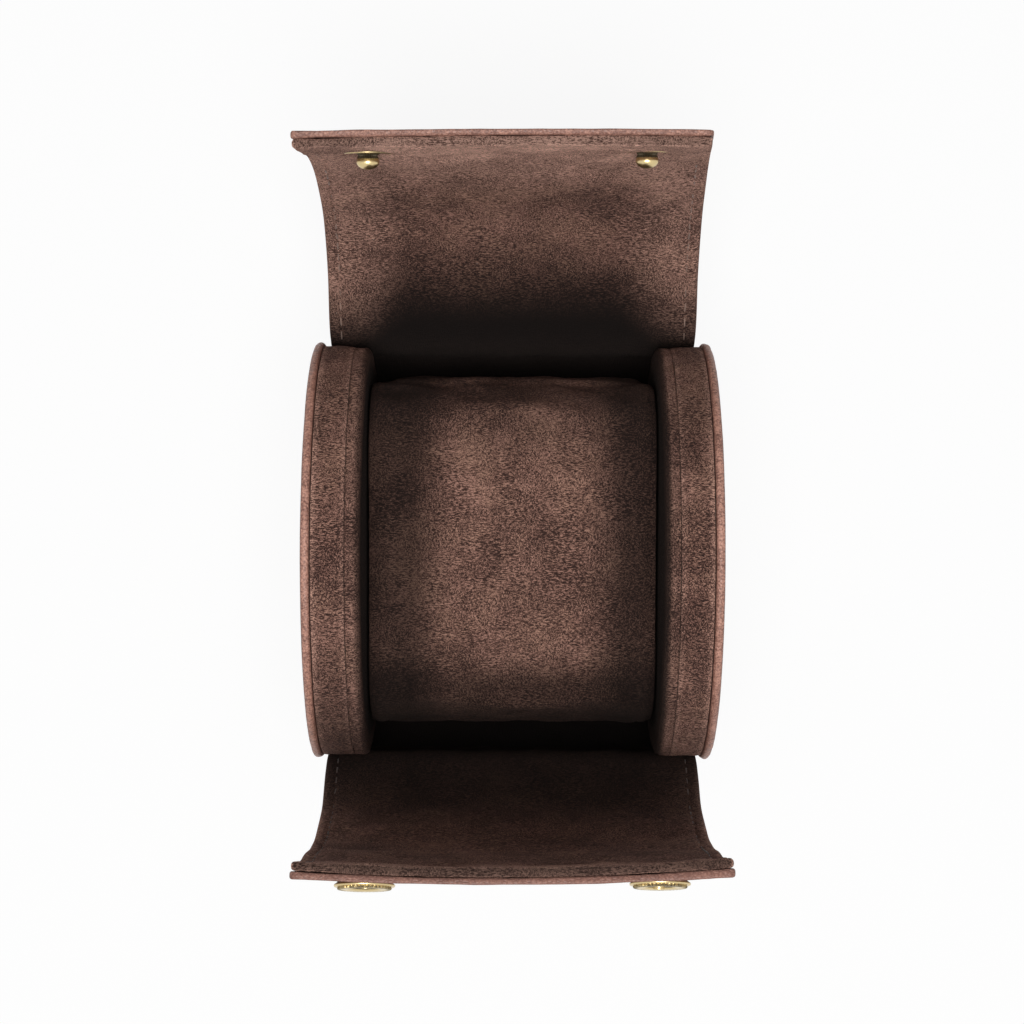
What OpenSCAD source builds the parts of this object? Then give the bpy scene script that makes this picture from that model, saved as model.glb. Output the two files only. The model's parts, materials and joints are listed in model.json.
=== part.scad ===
// Round travel case for one watch: a leather wrap with two flaps round two end caps and a loose pillow.
// The case stands on the flat of its wrap. +X runs along the roll's axis, +Y to the back, +Z up.
// Shapes of the roll are drawn in a plane of [outward, up] measured from the roll's axis.

/* [End caps] */
// Radius of the suede rim of an end cap
rim_radius = 42.5; // [36:0.5:52]
// Distance between the outer faces of the two end caps
overall_width = 82; // [72:1:100]
// Thickness of one end cap from its outer face to its inner face
cap_thickness = 11.4; // [9:0.2:14]
// Thickness of the leather disc on the outside of a cap
disc_thickness = 1.8; // [1.2:0.1:2.4]
// How far the leather disc stands proud of the suede rim
disc_lip = 1; // [0.6:0.1:1.5]
// Thickness of the stiff board behind the leather disc
cap_board_thickness = 2; // [1:0.1:2.6]
// Thickness of the suede on the caps and on the pillow
suede_thickness = 1; // [0.7:0.1:1.4]
// Width of the suede that the inner panel turns over the rim
face_turn = 4; // [3.6:0.1:4.8]
// Radius of the cap's padded inner shoulder
shoulder_radius = 3.4; // [2:0.1:3.5]

/* [Wrap] */
// Room between each side edge of the wrap and the leather disc beside it
wrap_side_room = 0.7; // [0.5:0.1:2]
// Thickness of the outer leather
leather_thickness = 1.4; // [1:0.1:1.8]
// Thickness of the stiffening board
board_thickness = 0.8; // [0.6:0.1:1.2]
// Thickness of the suede lining
lining_thickness = 1; // [0.7:0.1:1.4]
// Width of lining that is turned round each edge of the board
lining_turn = 1.2; // [0.8:0.1:2]
// How far the lined panel stays inside the edges of the leather
panel_inset = 0.6; // [0.3:0.1:1.5]
// Half the width of the flat that the case stands on
foot_half_width = 16; // [10:0.5:20]
// Room between the lining and the rim it goes round
rim_clearance = 0.3; // [0.2:0.05:0.5]
// Gap between neighbouring strips of the wrap
strip_gap = 0.3; // [0.2:0.05:0.5]

/* [Front flap] */
// Height angle on the roll where the front flap begins
front_root = 12; // [4:1:20]
// Angle of the roll that the shut front flap covers
front_sweep = 111; // [106:1:113]
// Slope of the first front strip when the case is open, from level outward
front_slope_1 = 70; // [60:0.5:80]
// Slope of the second front strip when the case is open
front_slope_2 = 92; // [80:1:100]
// Slope of the third front strip when the case is open
front_slope_3 = 99.3; // [90:0.1:110]

/* [Back flap] */
// Height angle on the roll where the back flap begins
back_root = -5; // [-12:1:4]
// Angle of its own curve that the back flap covers
back_sweep = 100.5; // [96:0.5:106]
// How much wider the back flap is curved than the roll
back_spread = 2; // [1.5:0.1:2.5]
// Slope of the first back strip when the case is open, from level outward
back_slope_1 = 33; // [25:1:45]
// Slope of the second back strip when the case is open
back_slope_2 = 65.5; // [55:0.5:75]
// Slope of the third back strip when the case is open
back_slope_3 = 88; // [80:1:95]

/* [Snaps] */
// Distance of the snaps from the side edges of the wrap
snap_inset = 12.5; // [8:0.5:20]
// Distance of the studs from the free edge of the back flap
stud_inset = 15; // [12:0.5:18]
// Diameter of a stud's head at its widest
stud_diameter = 4.3; // [3.8:0.1:4.6]
// Height of a stud's head at its widest
stud_widest = 2; // [1.8:0.1:2.2]
// Whole height of a stud
stud_height = 3.4; // [3:0.1:4.2]
// Room between the tip of a stud and the floor of its socket
stud_tip_room = 0.45; // [0.3:0.05:0.7]
// Diameter of a stud's neck
neck_diameter = 3; // [2.8:0.1:3.4]
// Diameter of a stud's flange
stud_flange_diameter = 9.4; // [8:0.1:10.5]
// Thickness of a stud's flange
stud_flange_thickness = 0.5; // [0.4:0.05:0.6]
// Diameter of a socket
socket_diameter = 10.4; // [9.5:0.1:12]
// Thickness of a socket's floor
socket_floor = 0.4; // [0.3:0.05:0.5]
// Depth to which a socket is let into the leather
socket_recess = 1; // [0.8:0.05:1.1]
// Room round a stud's head in its socket
socket_clearance = 0.35; // [0.25:0.05:0.5]
// Room between a stud's flange and the socket that it closes on
snap_clearance = 0.6; // [0.5:0.05:0.8]
// Diameter of the cap on the outside of the back flap
snap_cap_diameter = 12.4; // [10:0.1:15]
// Height of the cap on the outside of the back flap
snap_cap_height = 1.2; // [1:0.1:2.5]
// Height of the cap's straight edge
snap_cap_edge = 0.5; // [0.4:0.1:0.9]
// Diameter of the rivets that hold the snaps
rivet_diameter = 2; // [1.6:0.1:2.2]
// Diameter of the hidden head of a socket's rivet
rivet_head_diameter = 8; // [6:0.1:9]
// Thickness of the hidden head of a socket's rivet
rivet_head_thickness = 0.4; // [0.3:0.05:0.45]
// Room round a rivet in its hole
rivet_clearance = 0.05; // [0.02:0.01:0.1]

/* [Pillow] */
// Room for the watch strap between each end of the pillow and the rim's line
strap_room = 7; // [6:0.5:10]
// Room for the watch head between the top of the pillow and the shut lining
watch_room = 23; // [18:0.5:28]
// Radius of the pillow's long edges
pillow_corner = 14; // [10:0.5:16]
// Room between the pillow and each cap
pillow_side_clearance = 0.4; // [0.3:0.1:1]
// Room between the pillow and the lining that it rests on
pillow_rest_clearance = 0.3; // [0.2:0.05:0.5]

/* [Hidden] */
$fn = 96;

leather_colour = [0.40, 0.22, 0.18];
suede_colour = [0.28, 0.18, 0.15];
board_colour = [0.55, 0.47, 0.38];
foam_colour = [0.86, 0.82, 0.72];
brass_colour = [0.52, 0.43, 0.28];

// Sides of the case: a flap is drawn outward, then turned to the back or to the front
BACK = 1;
FRONT = -1;
LEFT = -1;
RIGHT = 1;
strip_count = 3;
// Length by which a cut reaches past whatever it cuts
past = 1;
// Air between a flat metal face and the curved leather or suede that it is set on
seat_gap = 0.02;

// Wrap: its thickness and its outer radius where it goes round the roll
wrap_thickness = leather_thickness + board_thickness + lining_thickness;
wrap_radius = rim_radius + rim_clearance + wrap_thickness;
axis_height = sqrt(wrap_radius * wrap_radius - foot_half_width * foot_half_width);
leather_half_width = overall_width / 2 - disc_thickness - wrap_side_room;
panel_half_width = leather_half_width - panel_inset;
board_half_width = panel_half_width - lining_turn;

// Flaps: each is a chain of equal arcs, hinged on the leather's outer face
front_slopes = [front_slope_1, front_slope_2, front_slope_3];
front_turn = front_sweep / strip_count;
front_hinges = chain(wrap_radius * direction(front_root), wrap_radius, front_turn, front_slopes);
back_slopes = [back_slope_1, back_slope_2, back_slope_3];
back_turn = back_sweep / strip_count;
back_radius = wrap_radius + back_spread;
back_hinges = chain(wrap_radius * direction(back_root), back_radius, back_turn, back_slopes);

// Caps: distances of their layers from the middle of the case
cap_outer = overall_width / 2;
cap_inner = cap_outer - cap_thickness;
disc_inner = cap_outer - disc_thickness;
board_inner = disc_inner - cap_board_thickness;
face_outer = cap_inner + face_turn;
cap_foot = axis_height - wrap_thickness - rim_clearance;

// Pillow: its lower long edges rest against the round of the lining
pillow_half_width = cap_inner - pillow_side_clearance;
pillow_inner = pillow_half_width - suede_thickness;
pillow_half_length = rim_radius - strap_room;
pillow_top = axis_height + rim_radius + rim_clearance - watch_room;
edge_reach = rim_radius + rim_clearance - pillow_rest_clearance - pillow_corner;
edge_offset = pillow_half_length - pillow_corner;
pillow_bottom = axis_height - sqrt(edge_reach * edge_reach - edge_offset * edge_offset) - pillow_corner;

// Studs: seated on the hollow of the back lining, at an angle along the last strip
stud_turn = back_turn - degrees_of(stud_inset, back_radius - wrap_thickness);
stud_seat = back_radius - wrap_thickness - sagitta(back_radius - wrap_thickness, stud_flange_diameter) - seat_gap;
stud_dome_radius = (stud_height - stud_widest) / 2
    + stud_diameter * stud_diameter / 8 / (stud_height - stud_widest);

// The shut back flap stands off the roll at its root by the angle that lets the studs reach into the
// sockets: the law of cosines gives it, from the root, the tip of a stud and the roll's axis
stud_angle = back_sweep - back_turn + stud_turn;
root_to_tip = (stud_seat - stud_height) * direction(stud_angle) - [back_radius, 0];
socket_seat = wrap_radius - socket_recess + seat_gap;
tip_radius = socket_seat + socket_floor + stud_tip_room;
back_lift = atan2(root_to_tip.y, root_to_tip.x)
    - acos((tip_radius * tip_radius - wrap_radius * wrap_radius - root_to_tip * root_to_tip)
           / (2 * wrap_radius * norm(root_to_tip)));

// Sockets: where the shut back flap brings its studs, seen from the roll's axis
shut_centre = wrap_radius * direction(back_root) + back_radius * direction(back_root - back_lift + 180);
shut_angle = back_root - back_lift + stud_angle;
shut_stud = shut_centre + (stud_seat - stud_widest) * direction(shut_angle);
socket_turn = 180 - atan2(shut_stud.y, shut_stud.x) - front_root - front_sweep + front_turn;
socket_height = norm(shut_stud) + stud_widest - stud_flange_thickness - snap_clearance - socket_seat;
socket_bore = stud_diameter + 2 * socket_clearance;
rivet_hole = rivet_diameter + 2 * rivet_clearance;
rivet_head_hole = rivet_head_diameter + 2 * rivet_clearance;
leather_inner_radius = wrap_radius - leather_thickness;
rivet_head_top = leather_inner_radius - sagitta(leather_inner_radius, rivet_head_diameter) - seat_gap;
snap_cap_rise = snap_cap_height - snap_cap_edge;
snap_cap_dome_radius = snap_cap_rise / 2 + snap_cap_diameter * snap_cap_diameter / 8 / snap_cap_rise;

function direction(angle) = [cos(angle), sin(angle)];
function chord(radius, turn) = 2 * radius * sin(turn / 2);
function degrees_of(arc, radius) = arc / radius * 180 / PI;
// Depth of a round face behind the middle of a flat one that is set across it
function sagitta(radius, width) = radius - sqrt(radius * radius - width * width / 4);
// Hinge points of a chain of three equal arcs, from its root along its open slopes
function chain(root, radius, turn, slopes) =
    let (step = chord(radius, turn))
    let (second = root + step * direction(slopes[0]))
    [root, second, second + step * direction(slopes[1])];
function flap_radius(side) = side == BACK ? back_radius : wrap_radius;
function flap_turn(side) = side == BACK ? back_turn : front_turn;
function flap_slope(side, number) = side == BACK ? back_slopes[number - 1] : front_slopes[number - 1];
function flap_hinge(side, number) = side == BACK ? back_hinges[number - 1] : front_hinges[number - 1];
function snap_turn(side) = side == BACK ? stud_turn : socket_turn;
// Angle that a strip leaves free at each of its ends, as half the gap to its neighbour
function end_gap(side) = degrees_of(strip_gap / 2, flap_radius(side));
// Angle where the board of a strip ends: the lining is turned round it at the flap's free edge
function board_end(side, number) =
    flap_turn(side) - end_gap(side) - (number == strip_count ? degrees_of(lining_turn, flap_radius(side)) : 0);

// Places a shape drawn in [outward, up, along] on the back or the front of the roll
module on_roll(side) {
    translate([0, 0, axis_height])
        mirror([0, side == FRONT ? 1 : 0, 0])
            rotate([90, 0, 90])
                children();
}

// Places a shape drawn round the centre of a strip's own arc, with the strip's start on +X
module on_strip(side, number) {
    hinge = flap_hinge(side, number);
    on_roll(side)
        translate([hinge.x, hinge.y, 0])
            rotate(flap_slope(side, number) - flap_turn(side) / 2 - 90)
                translate([-flap_radius(side), 0, 0])
                    children();
}

// Part of a tube round the origin, from one angle to another
module arc_layer(inner, outer, from, to, half_width) {
    rotate(from)
        rotate_extrude(angle = to - from)
            translate([inner, -half_width])
                square([outer - inner, 2 * half_width]);
}

// Sets a shape that points along +Z on a strip's arc at both snap places, at a radius
module at_snaps(side, radius) {
    rotate(snap_turn(side))
        for (place = [-1, 1])
            translate([radius, 0, place * (leather_half_width - snap_inset)])
                rotate([0, 90, 0])
                    children();
}

module snap_holes(side, diameter) {
    at_snaps(side, 0)
        cylinder(d = diameter, h = flap_radius(side) + past);
}

module strip_leather(side, number) {
    outer = flap_radius(side);
    color(leather_colour)
        on_strip(side, number)
            difference() {
                arc_layer(outer - leather_thickness, outer, end_gap(side), flap_turn(side) - end_gap(side),
                          leather_half_width);
                if (number == strip_count)
                    snap_holes(side, rivet_hole);
                if (side == FRONT && number == strip_count)
                    at_snaps(side, wrap_radius - socket_recess)
                        cylinder(d = socket_diameter + 2 * rivet_clearance, h = socket_recess + past);
            }
}

module strip_board(side, number) {
    outer = flap_radius(side) - leather_thickness;
    color(board_colour)
        on_strip(side, number)
            difference() {
                arc_layer(outer - board_thickness, outer, end_gap(side), board_end(side, number),
                          board_half_width);
                if (number == strip_count)
                    snap_holes(side, side == BACK ? rivet_hole : rivet_head_hole);
            }
}

// Suede that covers the inside of a strip and is turned round the edges of its board
module strip_lining(side, number) {
    outer = flap_radius(side) - leather_thickness;
    inner = flap_radius(side) - wrap_thickness;
    pocket_end = board_end(side, number) + (number == strip_count ? 0 : past);
    color(suede_colour)
        on_strip(side, number)
            difference() {
                arc_layer(inner, outer, end_gap(side), flap_turn(side) - end_gap(side), panel_half_width);
                arc_layer(inner + lining_thickness, outer + past, end_gap(side) - past, pocket_end,
                          board_half_width);
                if (side == BACK && number == strip_count)
                    snap_holes(side, rivet_hole);
            }
}

// Outline of the roll at one radius, cut flat at its foot
module roll_outline(radius, foot) {
    intersection() {
        circle(radius);
        translate([-radius, -foot])
            square([2 * radius, foot + radius]);
    }
}

// The open top of the base, between the roots of the two flaps
module flap_wedge() {
    from = back_root - degrees_of(strip_gap / 2, wrap_radius);
    to = 180 - front_root + degrees_of(strip_gap / 2, wrap_radius);
    reach = 2 * wrap_radius;
    corners = 4;
    polygon([[0, 0], for (corner = [0 : corners]) reach * direction(from + (to - from) * corner / corners)]);
}

// A layer of the base of the wrap, from one depth to another inside the leather's outer face
module base_layer(from, to, half_width) {
    on_roll(BACK)
        linear_extrude(height = 2 * half_width, center = true)
            difference() {
                roll_outline(wrap_radius - from, axis_height - from);
                roll_outline(wrap_radius - to, axis_height - to);
                flap_wedge();
            }
}

module wrap_leather_base() {
    color(leather_colour)
        base_layer(0, leather_thickness, leather_half_width);
}

module wrap_board_base() {
    color(board_colour)
        base_layer(leather_thickness, leather_thickness + board_thickness, board_half_width);
}

module wrap_lining_base() {
    color(suede_colour) {
        base_layer(leather_thickness + board_thickness, wrap_thickness, board_half_width);
        for (side = [LEFT, RIGHT])
            translate([side * (panel_half_width - lining_turn / 2), 0, 0])
                base_layer(leather_thickness, wrap_thickness, lining_turn / 2);
    }
}

// Places a shape that rises along +Z from a distance off the middle of the case towards one cap
module on_cap(side, from) {
    mirror([side == LEFT ? 1 : 0, 0, 0])
        translate([from, 0, axis_height])
            rotate([90, 0, 90])
                children();
}

module cap_layer(side, from, to, radius, foot) {
    on_cap(side, from)
        linear_extrude(height = to - from)
            roll_outline(radius, foot);
}

// Padded form of a cap: a disc with a round shoulder towards the middle of the case
module cap_form(side, inset, to) {
    radius = rim_radius - inset;
    shoulder = shoulder_radius - inset;
    height = to - cap_inner - inset;
    on_cap(side, cap_inner + inset)
        intersection() {
            rotate_extrude() {
                square([radius - shoulder, height]);
                translate([0, shoulder])
                    square([radius, height - shoulder]);
                intersection() {
                    translate([radius - shoulder, shoulder])
                        circle(shoulder);
                    square([radius, shoulder]);
                }
            }
            linear_extrude(height = height)
                translate([-radius, inset - cap_foot])
                    square([2 * radius, cap_foot + radius]);
        }
}

module end_disc(side) {
    color(leather_colour)
        cap_layer(side, disc_inner, cap_outer, rim_radius + disc_lip, cap_foot + disc_lip);
}

module cap_board(side) {
    color(board_colour)
        cap_layer(side, board_inner, disc_inner, rim_radius - suede_thickness, cap_foot - suede_thickness);
}

module cap_foam(side) {
    color(foam_colour)
        cap_form(side, suede_thickness, board_inner);
}

module cap_gusset(side) {
    color(suede_colour)
        difference() {
            cap_layer(side, face_outer, disc_inner, rim_radius, cap_foot);
            cap_layer(side, face_outer - past, disc_inner + past, rim_radius - suede_thickness,
                      cap_foot - suede_thickness);
        }
}

module cap_face(side) {
    color(suede_colour)
        difference() {
            cap_form(side, 0, face_outer);
            cap_form(side, suede_thickness, face_outer + past);
        }
}

// Outline of the pillow in [outward, up] from the foot of the case, inset all round
module pillow_outline(inset) {
    corner = pillow_corner - inset;
    half_length = pillow_half_length - inset;
    bottom = pillow_bottom + inset;
    top = pillow_top - inset;
    translate([-half_length, bottom + corner])
        square([2 * half_length, top - bottom - 2 * corner]);
    translate([corner - half_length, bottom])
        square([2 * (half_length - corner), top - bottom]);
    for (side = [-1, 1], height = [bottom + corner, top - corner])
        translate([side * (half_length - corner), height])
            circle(corner);
}

module pillow_layer(from, to, inset) {
    translate([from, 0, 0])
        rotate([90, 0, 90])
            linear_extrude(height = to - from)
                pillow_outline(inset);
}

module pillow_foam() {
    color(foam_colour)
        pillow_layer(-pillow_inner, pillow_inner, suede_thickness);
}

module pillow_sleeve() {
    color(suede_colour)
        difference() {
            pillow_layer(-pillow_inner, pillow_inner, 0);
            pillow_layer(-pillow_inner - past, pillow_inner + past, suede_thickness);
        }
}

module pillow_end(side) {
    color(suede_colour)
        mirror([side == LEFT ? 1 : 0, 0, 0])
            pillow_layer(pillow_inner, pillow_half_width, 0);
}

// Half outline of a stud in [radius, height]: flange, waisted neck and domed head, bored for its rivet
module stud_profile() {
    head_radius = stud_diameter / 2;
    neck_height = (stud_flange_thickness + stud_widest) / 2;
    difference() {
        union() {
            square([stud_flange_diameter / 2, stud_flange_thickness]);
            polygon([[0, 0], [head_radius, stud_flange_thickness], [neck_diameter / 2, neck_height],
                     [head_radius, stud_widest], [0, stud_widest]]);
            intersection() {
                translate([0, stud_height - stud_dome_radius])
                    circle(stud_dome_radius);
                translate([0, stud_widest])
                    square([head_radius, stud_height]);
            }
        }
        translate([0, -past])
            square([rivet_hole / 2, past + stud_flange_thickness]);
    }
}

module snap_studs() {
    color(brass_colour)
        on_strip(BACK, strip_count)
            at_snaps(BACK, stud_seat)
                rotate([180, 0, 0])
                    rotate_extrude()
                        stud_profile();
}

// Domed caps on the outside of the back flap, with the rivets that hold the studs
module snap_caps() {
    cap_seat = back_radius + seat_gap;
    rivet_length = cap_seat - stud_seat + stud_flange_thickness - seat_gap;
    color(brass_colour)
        on_strip(BACK, strip_count)
            at_snaps(BACK, cap_seat) {
                intersection() {
                    cylinder(d = snap_cap_diameter, h = snap_cap_height);
                    translate([0, 0, snap_cap_height - snap_cap_dome_radius])
                        sphere(snap_cap_dome_radius, $fn = 3 * $fn);
                }
                translate([0, 0, -rivet_length])
                    cylinder(d = rivet_diameter, h = rivet_length + snap_cap_edge);
            }
}

module snap_sockets() {
    color(brass_colour)
        on_strip(FRONT, strip_count)
            at_snaps(FRONT, socket_seat)
                difference() {
                    cylinder(d = socket_diameter, h = socket_height);
                    translate([0, 0, socket_floor])
                        cylinder(d = socket_bore, h = socket_height);
                    translate([0, 0, -past])
                        cylinder(d = rivet_hole, h = socket_height);
                }
}

// Rivets that hold the sockets, with their heads hidden in the board of the front flap
module snap_rivets() {
    color(brass_colour)
        on_strip(FRONT, strip_count)
            at_snaps(FRONT, rivet_head_top - rivet_head_thickness) {
                cylinder(d = rivet_head_diameter, h = rivet_head_thickness);
                cylinder(d = rivet_diameter,
                         h = socket_seat + socket_floor - rivet_head_top + rivet_head_thickness);
            }
}

wrap_leather_base();
wrap_board_base();
wrap_lining_base();
strip_leather(FRONT, 1);  // front_leather_1
strip_leather(FRONT, 2);  // front_leather_2
strip_leather(FRONT, 3);  // front_leather_3
strip_board(FRONT, 1);  // front_board_1
strip_board(FRONT, 2);  // front_board_2
strip_board(FRONT, 3);  // front_board_3
strip_lining(FRONT, 1);  // front_lining_1
strip_lining(FRONT, 2);  // front_lining_2
strip_lining(FRONT, 3);  // front_lining_3
strip_leather(BACK, 1);  // back_leather_1
strip_leather(BACK, 2);  // back_leather_2
strip_leather(BACK, 3);  // back_leather_3
strip_board(BACK, 1);  // back_board_1
strip_board(BACK, 2);  // back_board_2
strip_board(BACK, 3);  // back_board_3
strip_lining(BACK, 1);  // back_lining_1
strip_lining(BACK, 2);  // back_lining_2
strip_lining(BACK, 3);  // back_lining_3
end_disc(LEFT);  // end_disc_left
cap_board(LEFT);  // cap_board_left
cap_foam(LEFT);  // cap_foam_left
cap_gusset(LEFT);  // cap_gusset_left
cap_face(LEFT);  // cap_face_left
end_disc(RIGHT);  // end_disc_right
cap_board(RIGHT);  // cap_board_right
cap_foam(RIGHT);  // cap_foam_right
cap_gusset(RIGHT);  // cap_gusset_right
cap_face(RIGHT);  // cap_face_right
pillow_foam();
pillow_sleeve();
pillow_end(LEFT);  // pillow_end_left
pillow_end(RIGHT);  // pillow_end_right
snap_studs();
snap_caps();
snap_sockets();
snap_rivets();
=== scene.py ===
"""Leather, suede, pillow and snaps of a watch travel case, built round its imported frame.

The case is a roll: a strip of leather lined with suede goes round two padded end caps and ends in two
flaps, and a square pillow that holds the watch stands between the caps. Lengths are metres, the case
stands on z = 0, x runs along the roll from its left cap to its right one, and the back is +y.
"""
import json
import math

import bmesh
import bpy
import numpy as np
from bpy.props import FloatProperty, FloatVectorProperty, IntProperty, PointerProperty
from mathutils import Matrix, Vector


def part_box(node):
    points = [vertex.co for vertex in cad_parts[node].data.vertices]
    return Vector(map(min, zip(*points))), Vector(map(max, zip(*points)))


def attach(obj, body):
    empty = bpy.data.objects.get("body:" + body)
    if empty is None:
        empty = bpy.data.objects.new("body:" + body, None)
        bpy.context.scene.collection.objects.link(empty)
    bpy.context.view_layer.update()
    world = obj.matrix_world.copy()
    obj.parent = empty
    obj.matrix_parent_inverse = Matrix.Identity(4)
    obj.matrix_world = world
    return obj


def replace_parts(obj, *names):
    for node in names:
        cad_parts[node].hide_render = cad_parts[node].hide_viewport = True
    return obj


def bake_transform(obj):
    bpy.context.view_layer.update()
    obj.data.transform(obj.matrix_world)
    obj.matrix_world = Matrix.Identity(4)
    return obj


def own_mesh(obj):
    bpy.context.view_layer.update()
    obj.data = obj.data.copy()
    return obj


bl_info = {
    "name": "Watch travel case",
    "version": (1, 0, 0),
    "blender": (4, 5, 0),
    "location": "3D View > Sidebar > Watch case",
    "description": "Builds the looks of a suede-lined watch travel case round its packed frame",
    "category": "Add Mesh",
}

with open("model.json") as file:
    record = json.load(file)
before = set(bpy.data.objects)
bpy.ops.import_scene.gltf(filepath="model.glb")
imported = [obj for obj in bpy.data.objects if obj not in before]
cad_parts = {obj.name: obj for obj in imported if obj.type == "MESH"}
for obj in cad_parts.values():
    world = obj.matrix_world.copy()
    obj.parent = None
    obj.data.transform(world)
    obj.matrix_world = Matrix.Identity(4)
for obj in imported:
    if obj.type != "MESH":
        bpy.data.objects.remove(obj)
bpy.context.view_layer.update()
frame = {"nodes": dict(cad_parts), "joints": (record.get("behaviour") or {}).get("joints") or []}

MM = 0.001
DEGREE = math.pi / 180
QUARTER_TURN = math.pi / 2
FULL_TURN = 2 * math.pi
SIDES = {"left": -1, "right": 1}
FLAPS = {"front": -1, "back": 1}
FOLD_NAMES = ("fold", "bend_1", "bend_2")
# How sharply the round of the roll turns into its flat foot: higher is sharper
FOOT_SHARPNESS = 80
# Rounds in which a point finds its place near a bent hinge
SETTLING_STEPS = 24
# Middle and reach of the flattened part of a flap, in thirds of its length
FLAT_MIDDLE, FLAT_REACH = 1.5, 0.62
# The leather's share of the suede's stitch groove and lumps
LEATHER_GROOVE, LEATHER_LUMPS = 0.4, 0.35
# Shares of the curl that the outer face follows, and of the relief that is left on a rounded end
OUTER_CURL, END_RELIEF = 0.75, 0.4
# Paleness of the edges, as wear and painted highlight, on the front flap and elsewhere; the lining's share
FRONT_EDGE_PALENESS, EDGE_PALENESS, LINING_WEAR = 0.42, 0.7, 0.04
# Painted shade on each flap's lining: how dark, from which length on it fades out, over what
# reach, how much sooner at its sides, and how dark where the suede is turned in at the free end
FLAP_PAINTED_SHADE = {"front": (0.9, 6 * MM, 34 * MM, 3 * MM, 0.75), "back": (1, 4 * MM, 25 * MM, 9 * MM, 0.6)}
# Painted shade on the thread of the front flap, rings along a stitch, and points round each
FRONT_THREAD_PAINTED_SHADE, STITCH_RINGS, THREAD_POINTS = 0.85, 8, 6
# How far the caps' suede lies inside its radius before its pile is raised
SUEDE_INSET = 0.1 * MM
# Radius of the pillow's seams, and points round its outline
PILLOW_EDGE, PILLOW_COLUMNS = 0.9 * MM, 168
# How the pillow's suede weighs, stretches and shrinks in the simulation
CLOTH = {"quality": 6, "mass": 0.25, "tension_stiffness": 18, "compression_stiffness": 18,
         "bending_stiffness": 0.6, "shrink_min": -0.012, "use_pressure": True}
# Half the width of the floor, in metres
FLOOR_HALF = 12.0
# Slack for rounding
TINY = 1e-9


# Sizes and colours

def length(name, description, millimetres):
    return FloatProperty(name=name, description=description, default=millimetres * MM,
                         unit="LENGTH", subtype="DISTANCE", precision=5)


def fraction(name, description, value):
    return FloatProperty(name=name, description=description, default=value, min=0, max=1, subtype="FACTOR")


def whole(name, description, value):
    return IntProperty(name=name, description=description, default=value, subtype="UNSIGNED")


def colour(name, description, value):
    return FloatVectorProperty(name=name, description=description, default=value, size=3,
                               subtype="COLOR", min=0, max=1)


class WrapSizes(bpy.types.PropertyGroup):
    leather: length("Leather", "Thickness of the leather", 1.2)
    panel: length("Suede panel", "Thickness of the board with its suede", 1.8)
    leather_half: length("Leather half width", "Half the width of the leather", 38.5)
    panel_half: length("Panel half width", "Half the width of the suede panel", 38.3)
    foot_half: length("Foot half width", "Half the depth of the flat foot under the roll", 16)
    back_spread: length("Back spread", "How much wider the back flap curls than the roll", 2)
    fold_reach: length("Fold reach", "Length of wrap on each side of a hinge that bends", 14)
    front_straight: length("Front straight", "Length of the front flap's straight end", 20)
    back_straight: length("Back straight", "Length of the back flap's straight end", 18)
    front_drawn: length("Front drawn in", "How far the front flap's straight end is drawn in", 0.95)
    back_drawn: length("Back drawn in", "How far the back flap's straight end is drawn in", 0.68)
    drawn_reach: length("Drawn-in reach", "Length of flap over which it is drawn in", 12)
    front_flat: length("Front flattened", "How far the front flap's middle third is drawn in", 1.4)
    back_flat: length("Back flattened", "How far the back flap's middle third is drawn in", 0.8)
    front_curl: length("Front curl", "How far the front flap's corners curl in", 1.5)
    back_curl: length("Back curl", "How far the back flap's corners curl in", 0.35)
    skew: length("Skew", "How far forward the right side of each free edge is twisted", 0.35)
    base_overlap: length("Base end", "Distance from a flap's hinge to the base piece's end", 15)
    panel_back: length("Panel set-back", "Distance of the panel's free end behind the leather's", 0.35)
    corner: length("Corner radius", "Radius of the flaps' corners", 1)
    bow: length("Bow", "How far the middle of a free edge stands proud of its corners", 0.4)
    lean: length("Lean", "How far the back flap's free edge is drawn to the left", 2.3)
    leather_edge: length("Leather edge", "Radius of the leather's rubbed edges", 0.42)
    panel_edge: length("Panel edge", "Radius of the edge that the suede is turned round", 0.75)
    lumps: length("Lumps", "Height of the unevenness of the suede over its board", 0.12)
    grid: length("Grid", "Size of a mesh cell", 0.9)


class StitchSizes(bpy.types.PropertyGroup):
    inset: length("Inset", "Distance of the stitch line from the leather's edge", 2.6)
    pitch: length("Pitch", "Distance from one stitch to the next", 3)
    long: length("Length", "Length of one stitch", 2.1)
    thread: length("Thread", "Radius of the thread", 0.15)
    groove: length("Groove", "Depth to which the stitches draw the suede in", 0.3)
    groove_reach: length("Groove reach", "Half the width of the drawn-in line", 0.9)


class CapSizes(bpy.types.PropertyGroup):
    outer: length("Outer face", "Distance of the outer face from the case's middle", 41)
    disc: length("Disc", "Thickness of the leather disc", 1.8)
    disc_radius: length("Disc radius", "Radius of the leather disc", 43.5)
    radius: length("Radius", "Radius of the suede band", 42.5)
    seam: length("Seam", "Distance of the seam from the case's middle", 32.5)
    inner: length("Inner face", "Distance of the inner face from the case's middle", 29.6)
    shoulder: length("Shoulder", "Radius of the shoulder round the inner face", 1.4)
    pile: length("Pile", "How far the pile stands where the wrap doesn't press it", 0.5)
    foot_room: length("Foot room", "Height of the suede's flat foot above the table", 3.5)
    disc_foot_room: length("Disc foot room", "Height of the disc's flat foot above the table", 2.5)
    suede: length("Suede", "Thickness of the suede", 0.9)
    roll: length("Rolled edge", "Radius of the edges where the suede is turned in", 0.2)
    crease: length("Crease", "Distance of the pressed line from the disc's rim", 2.6)
    sides: whole("Sides", "Facets round a cap", 360)
    kept: fraction("Kept height", "Share of the padded parts' height left by the shut front flap", 0.955)


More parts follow.
